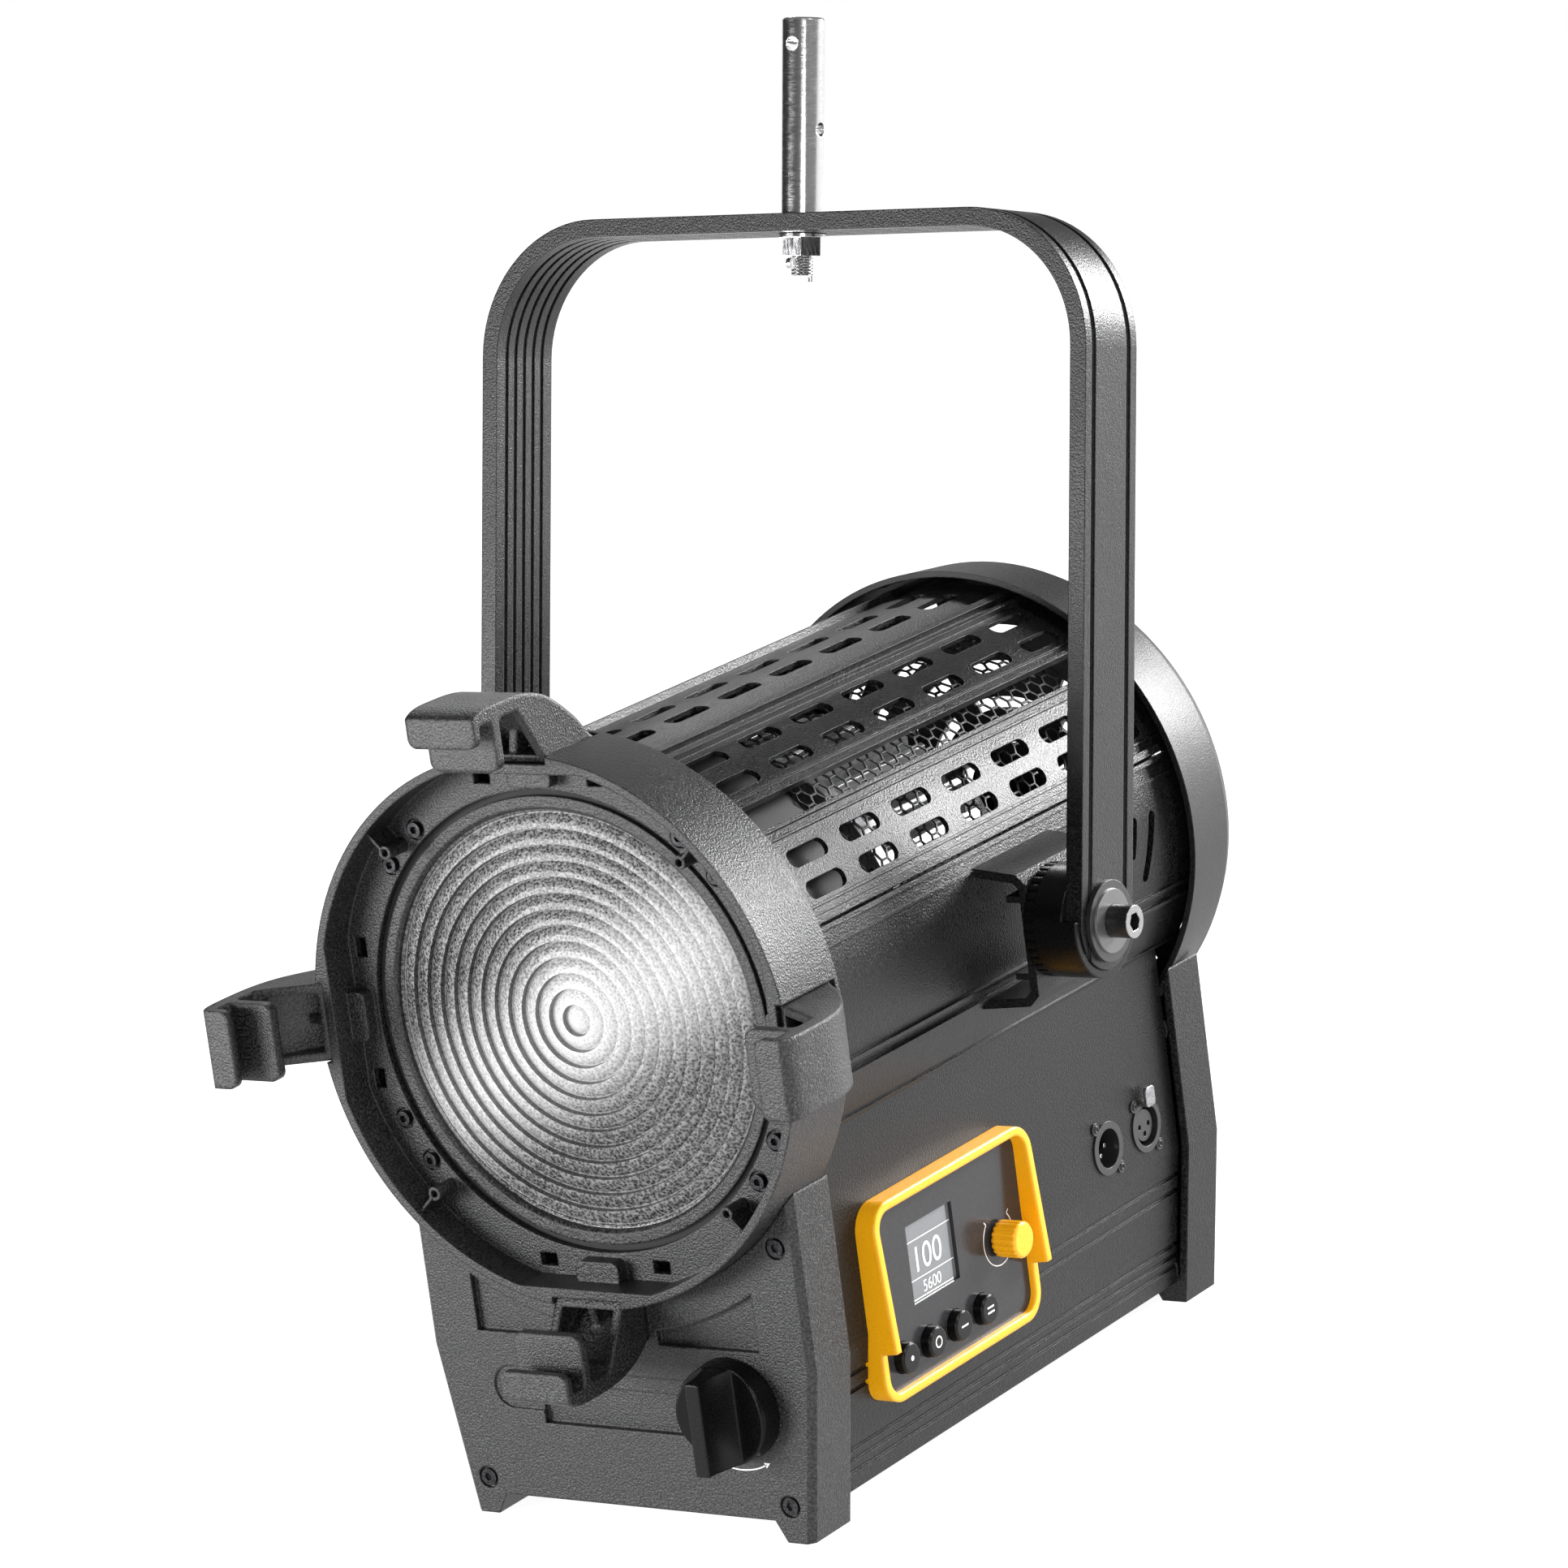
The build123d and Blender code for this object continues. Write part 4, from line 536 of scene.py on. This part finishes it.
def ribbon(bm, points, width, outward, lift):
    """Flat strip along points, of a given width, lying square to outward."""
    left = []
    right = []
    for index, point in enumerate(points):
        before = points[max(index - 1, 0)]
        after = points[min(index + 1, len(points) - 1)]
        side = (after - before).cross(outward).normalized() * width / 2
        left.append(bm.verts.new(point + side + outward * lift))
        right.append(bm.verts.new(point - side + outward * lift))
    for n in range(len(points) - 1):
        bm.faces.new((left[n], right[n], right[n + 1], left[n + 1]))


def arc_points(centre, radius, start, end, u, v, count=40):
    turns = [math.radians(start + (end - start) * n / count) for n in range(count + 1)]
    return [centre + u * (radius * math.cos(t)) + v * (radius * math.sin(t)) for t in turns]


OUT = Vector((1, 0, 0))
BACK = Vector((0, 1, 0))
UP = Vector((0, 0, 1))


ENCODER_CENTRE = Vector((FACE_X, FRONT_Y + 0.1815, AXIS_Z - 0.147))
SCALE_R = 0.0128
TICK_END = 0.0150
SCALE_TURNS = (-225, 45)
FINE_LINE = 0.0005


def build_face_marks():
    """Arc round the encoder knob, with a tick at each end."""
    bm = bmesh.new()
    centre = ENCODER_CENTRE
    ribbon(bm, arc_points(centre, SCALE_R, *SCALE_TURNS, BACK, UP), FINE_LINE, OUT, LIFT)
    for turn in SCALE_TURNS:
        t = math.radians(turn)
        way = BACK * math.cos(t) + UP * math.sin(t)
        ribbon(bm, [centre + way * SCALE_R, centre + way * TICK_END], FINE_LINE, OUT, LIFT)
    piece("face_marks", bm, white_print, "head", smooth=False)


build_face_marks()


SCREW_PLACES = [(y + side * 0.0095, SOCKET_Z - side * 0.012)
                for y in (SOCKET_IN_Y, SOCKET_OUT_Y) for side in (-1, 1)]
# lift and radius of the head's rings, from its edge over its dome into its recess
SCREW_PROFILE = ((0.0, 0.0019), (0.0005, 0.0017), (0.0007, 0.0011), (0.0002, 0.0009), (0.0002, 0.0001))
SCREW_SIDES = 24


def build_socket_screws():
    """A domed screw head with its recess at each lug of the two data sockets."""
    last_turn = 360 - 360 / SCREW_SIDES
    for number, (y, z) in enumerate(SCREW_PLACES, 1):
        bm = bmesh.new()
        centre = Vector((SOCKET_FACE_X, y, z))
        rings = []
        for lift, radius in SCREW_PROFILE:
            points = arc_points(centre, radius, 0, last_turn, BACK, UP, SCREW_SIDES - 1)
            rings.append([bm.verts.new(point + OUT * lift) for point in points])
        for a, b in zip(rings, rings[1:]):
            for n in range(SCREW_SIDES):
                m = (n + 1) % SCREW_SIDES
                bm.faces.new((a[n], a[m], b[m], b[n]))
        piece(f"socket_screw_{number}", bm, dark_steel, "head")


build_socket_screws()


def display_material():
    g = Graph("display_glass")
    fine = g.noise(900, 2.0)
    color = g.mix(g.spread(fine, 0.3, 0.7), (0.115, 0.120, 0.128, 1), (0.130, 0.135, 0.143, 1))
    return g.finish(color, g.spread(fine, 0.3, 0.7, 0.10, 0.14), g.bump(fine, 0.000003, 0.3),
                    Coat_Weight=0.8, Coat_Roughness=0.05)


WINDOW_X = FACE_X - 0.0018
WINDOW_HALF_Y = 0.0193
WINDOW_HALF_Z = 0.018
SQUARE = ((-1, -1), (1, -1), (1, 1), (-1, 1))
RULE_HALF = 0.0185
RULE_HEIGHTS = (0.0095, -0.0085)
# name, text, size, and its start from the window's middle
DISPLAY_TEXTS = (("display_level", "100", 0.0170, (-0.0150, -0.0055)),
                 ("display_value", "5600", 0.0078, (-0.0085, -0.0160)))
FACE_TURN = Matrix(((0, 0, 1, 0), (1, 0, 0, 0), (0, 1, 0, 0), (0, 0, 0, 1)))


def build_display():
    """Window with two rules and two plain numbers."""
    bm = bmesh.new()
    middle = Vector((WINDOW_X, WINDOW_Y, WINDOW_Z))
    corners = [middle + BACK * (a * WINDOW_HALF_Y) + UP * (b * WINDOW_HALF_Z) for a, b in SQUARE]
    bm.faces.new([bm.verts.new(corner) for corner in corners])
    piece("display_window", bm, display_material(), "head", smooth=False)
    bm = bmesh.new()
    for height in RULE_HEIGHTS:
        start = middle + UP * height - BACK * RULE_HALF
        ribbon(bm, [start, start + BACK * (2 * RULE_HALF)], FINE_LINE, OUT, LIFT)
    piece("display_lines", bm, white_print, "head", smooth=False)
    for name, words, size, (back, up) in DISPLAY_TEXTS:
        text = bpy.data.curves.new(name, "FONT")
        text.body = words
        text.size = size
        made = bpy.data.objects.new(name, text)
        bpy.context.scene.collection.objects.link(made)
        text.materials.append(white_print)
        made.matrix_world = Matrix.Translation(middle + OUT * LIFT + BACK * back + UP * up) @ FACE_TURN
        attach(made, "head")


build_display()


BUTTON_PLACES = (0.093, 0.1155, 0.138, 0.1606)
BUTTON_Z = AXIS_Z - 0.174
BUTTON_FRONT = FACE_X + 0.005


DOT_R = 0.0006
RING_MARK_R = 0.0024
BAR_HALF = 0.0028


def build_button_marks():
    """A plain mark on each button: a dot, a ring, one bar and two bars."""
    for number, depth in enumerate(BUTTON_PLACES, 1):
        bm = bmesh.new()
        centre = Vector((BUTTON_FRONT, FRONT_Y + depth, BUTTON_Z))
        if number == 1:
            ribbon(bm, arc_points(centre, DOT_R, 0, 360, BACK, UP, 24), 2 * DOT_R, OUT, LIFT)
        elif number == 2:
            ribbon(bm, arc_points(centre, RING_MARK_R, 0, 360, BACK, UP, 32), 0.0008, OUT, LIFT)
        else:
            for z in ((0.0,) if number == 3 else (0.0012, -0.0012)):
                start = centre + UP * z - BACK * BAR_HALF
                ribbon(bm, [start, start + BACK * (2 * BAR_HALF)], 0.0009, OUT, LIFT)
        piece(f"button_mark_{number}", bm, white_print, f"button_{number}", smooth=False)


build_button_marks()


KNOB_CENTRE = Vector((0.0595, FRONT_Y + 0.0179, AXIS_Z - 0.175))
KNOB_MARK_R = 0.0285
TIP_AHEAD = 0.0022
TIP_BEHIND = 0.0008
TIP_HALF = 0.0014


def build_knob_mark():
    """Curved double arrow printed under the focus knob."""
    bm = bmesh.new()
    ahead = -BACK
    points = arc_points(KNOB_CENTRE, KNOB_MARK_R, -112, -62, OUT, UP, 24)
    ribbon(bm, points, 0.0006, ahead, LIFT)
    for tip, before in ((points[0], points[3]), (points[-1], points[-4])):
        way = (tip - before).normalized()
        side = way.cross(ahead) * TIP_HALF
        base = tip - way * TIP_BEHIND
        corners = (tip + way * TIP_AHEAD, base + side, base - side)
        bm.faces.new([bm.verts.new(corner + ahead * LIFT) for corner in corners])
    piece("knob_mark", bm, white_print, "head", smooth=False)


build_knob_mark()


# ---------------------------------------------------------------- stage and light
FLOOR_HALF = 30.0
FLOOR_Z = -0.0002


def build_floor():
    """Pale plain floor, a little bright by itself."""
    bm = bmesh.new()
    corners = [(a * FLOOR_HALF, b * FLOOR_HALF, FLOOR_Z) for a, b in SQUARE]
    bm.faces.new([bm.verts.new(corner) for corner in corners])
    mesh = bpy.data.meshes.new("floor")
    bm.to_mesh(mesh)
    bm.free()
    floor = bpy.data.objects.new("floor", mesh)
    bpy.context.scene.collection.objects.link(floor)
    g = Graph("pale_floor")
    soft = g.noise(3.0, 2.0)
    color = g.mix(soft, grey(0.24), grey(0.27))
    mesh.materials.append(g.finish(color, 0.9, g.bump(g.noise(400, 2.0), 0.0001, 0.1),
                                   Emission_Color=grey(1.0), Emission_Strength=0.93))


build_floor()


def softbox(name, place, target, width, height, power):
    data = bpy.data.lights.new(name, "AREA")
    data.shape = "RECTANGLE"
    data.size = width
    data.size_y = height
    data.energy = power
    lamp = bpy.data.objects.new(name, data)
    bpy.context.scene.collection.objects.link(lamp)
    place = Vector(place)
    turn = (Vector(target) - place).to_track_quat("-Z", "Y").to_matrix()
    lamp.matrix_world = Matrix.Translation(place) @ turn.to_4x4()


MIDDLE = (0, 0, 0.3)
softbox("strip_right_back", (1.25, 2.4, 1.1), MIDDLE, 1.2, 0.9, 190)
softbox("top_back", (-1.6, 2.3, 2.0), MIDDLE, 1.0, 0.4, 18)
softbox("front_left", (-1.5, -2.3, 0.5), MIDDLE, 1.4, 0.9, 92)
softbox("right_high", (2.2, -0.3, 2.0), MIDDLE, 0.7, 0.9, 34)
softbox("camera_side", (2.05, -2.84, 0.9), MIDDLE, 1.3, 1.1, 42)

world = bpy.data.worlds.new("studio")
world.use_nodes = True
sky = world.node_tree
background = sky.nodes["Background"]
direction = sky.nodes.new("ShaderNodeTexCoord")
towards = sky.nodes.new("ShaderNodeVectorMath")
towards.operation = "DOT_PRODUCT"
towards.inputs[1].default_value = (0.62, 0.30, 0.72)
brightness = sky.nodes.new("ShaderNodeMapRange")
brightness.inputs["From Min"].default_value = -0.5
brightness.inputs["From Max"].default_value = 1.0
brightness.inputs["To Min"].default_value = 0.03
brightness.inputs["To Max"].default_value = 0.30
sky.links.new(direction.outputs["Generated"], towards.inputs[0])
sky.links.new(towards.outputs["Value"], brightness.inputs["Value"])
sky.links.new(brightness.outputs[0], background.inputs["Strength"])
background.inputs["Color"].default_value = grey(1.0)
bpy.context.scene.world = world
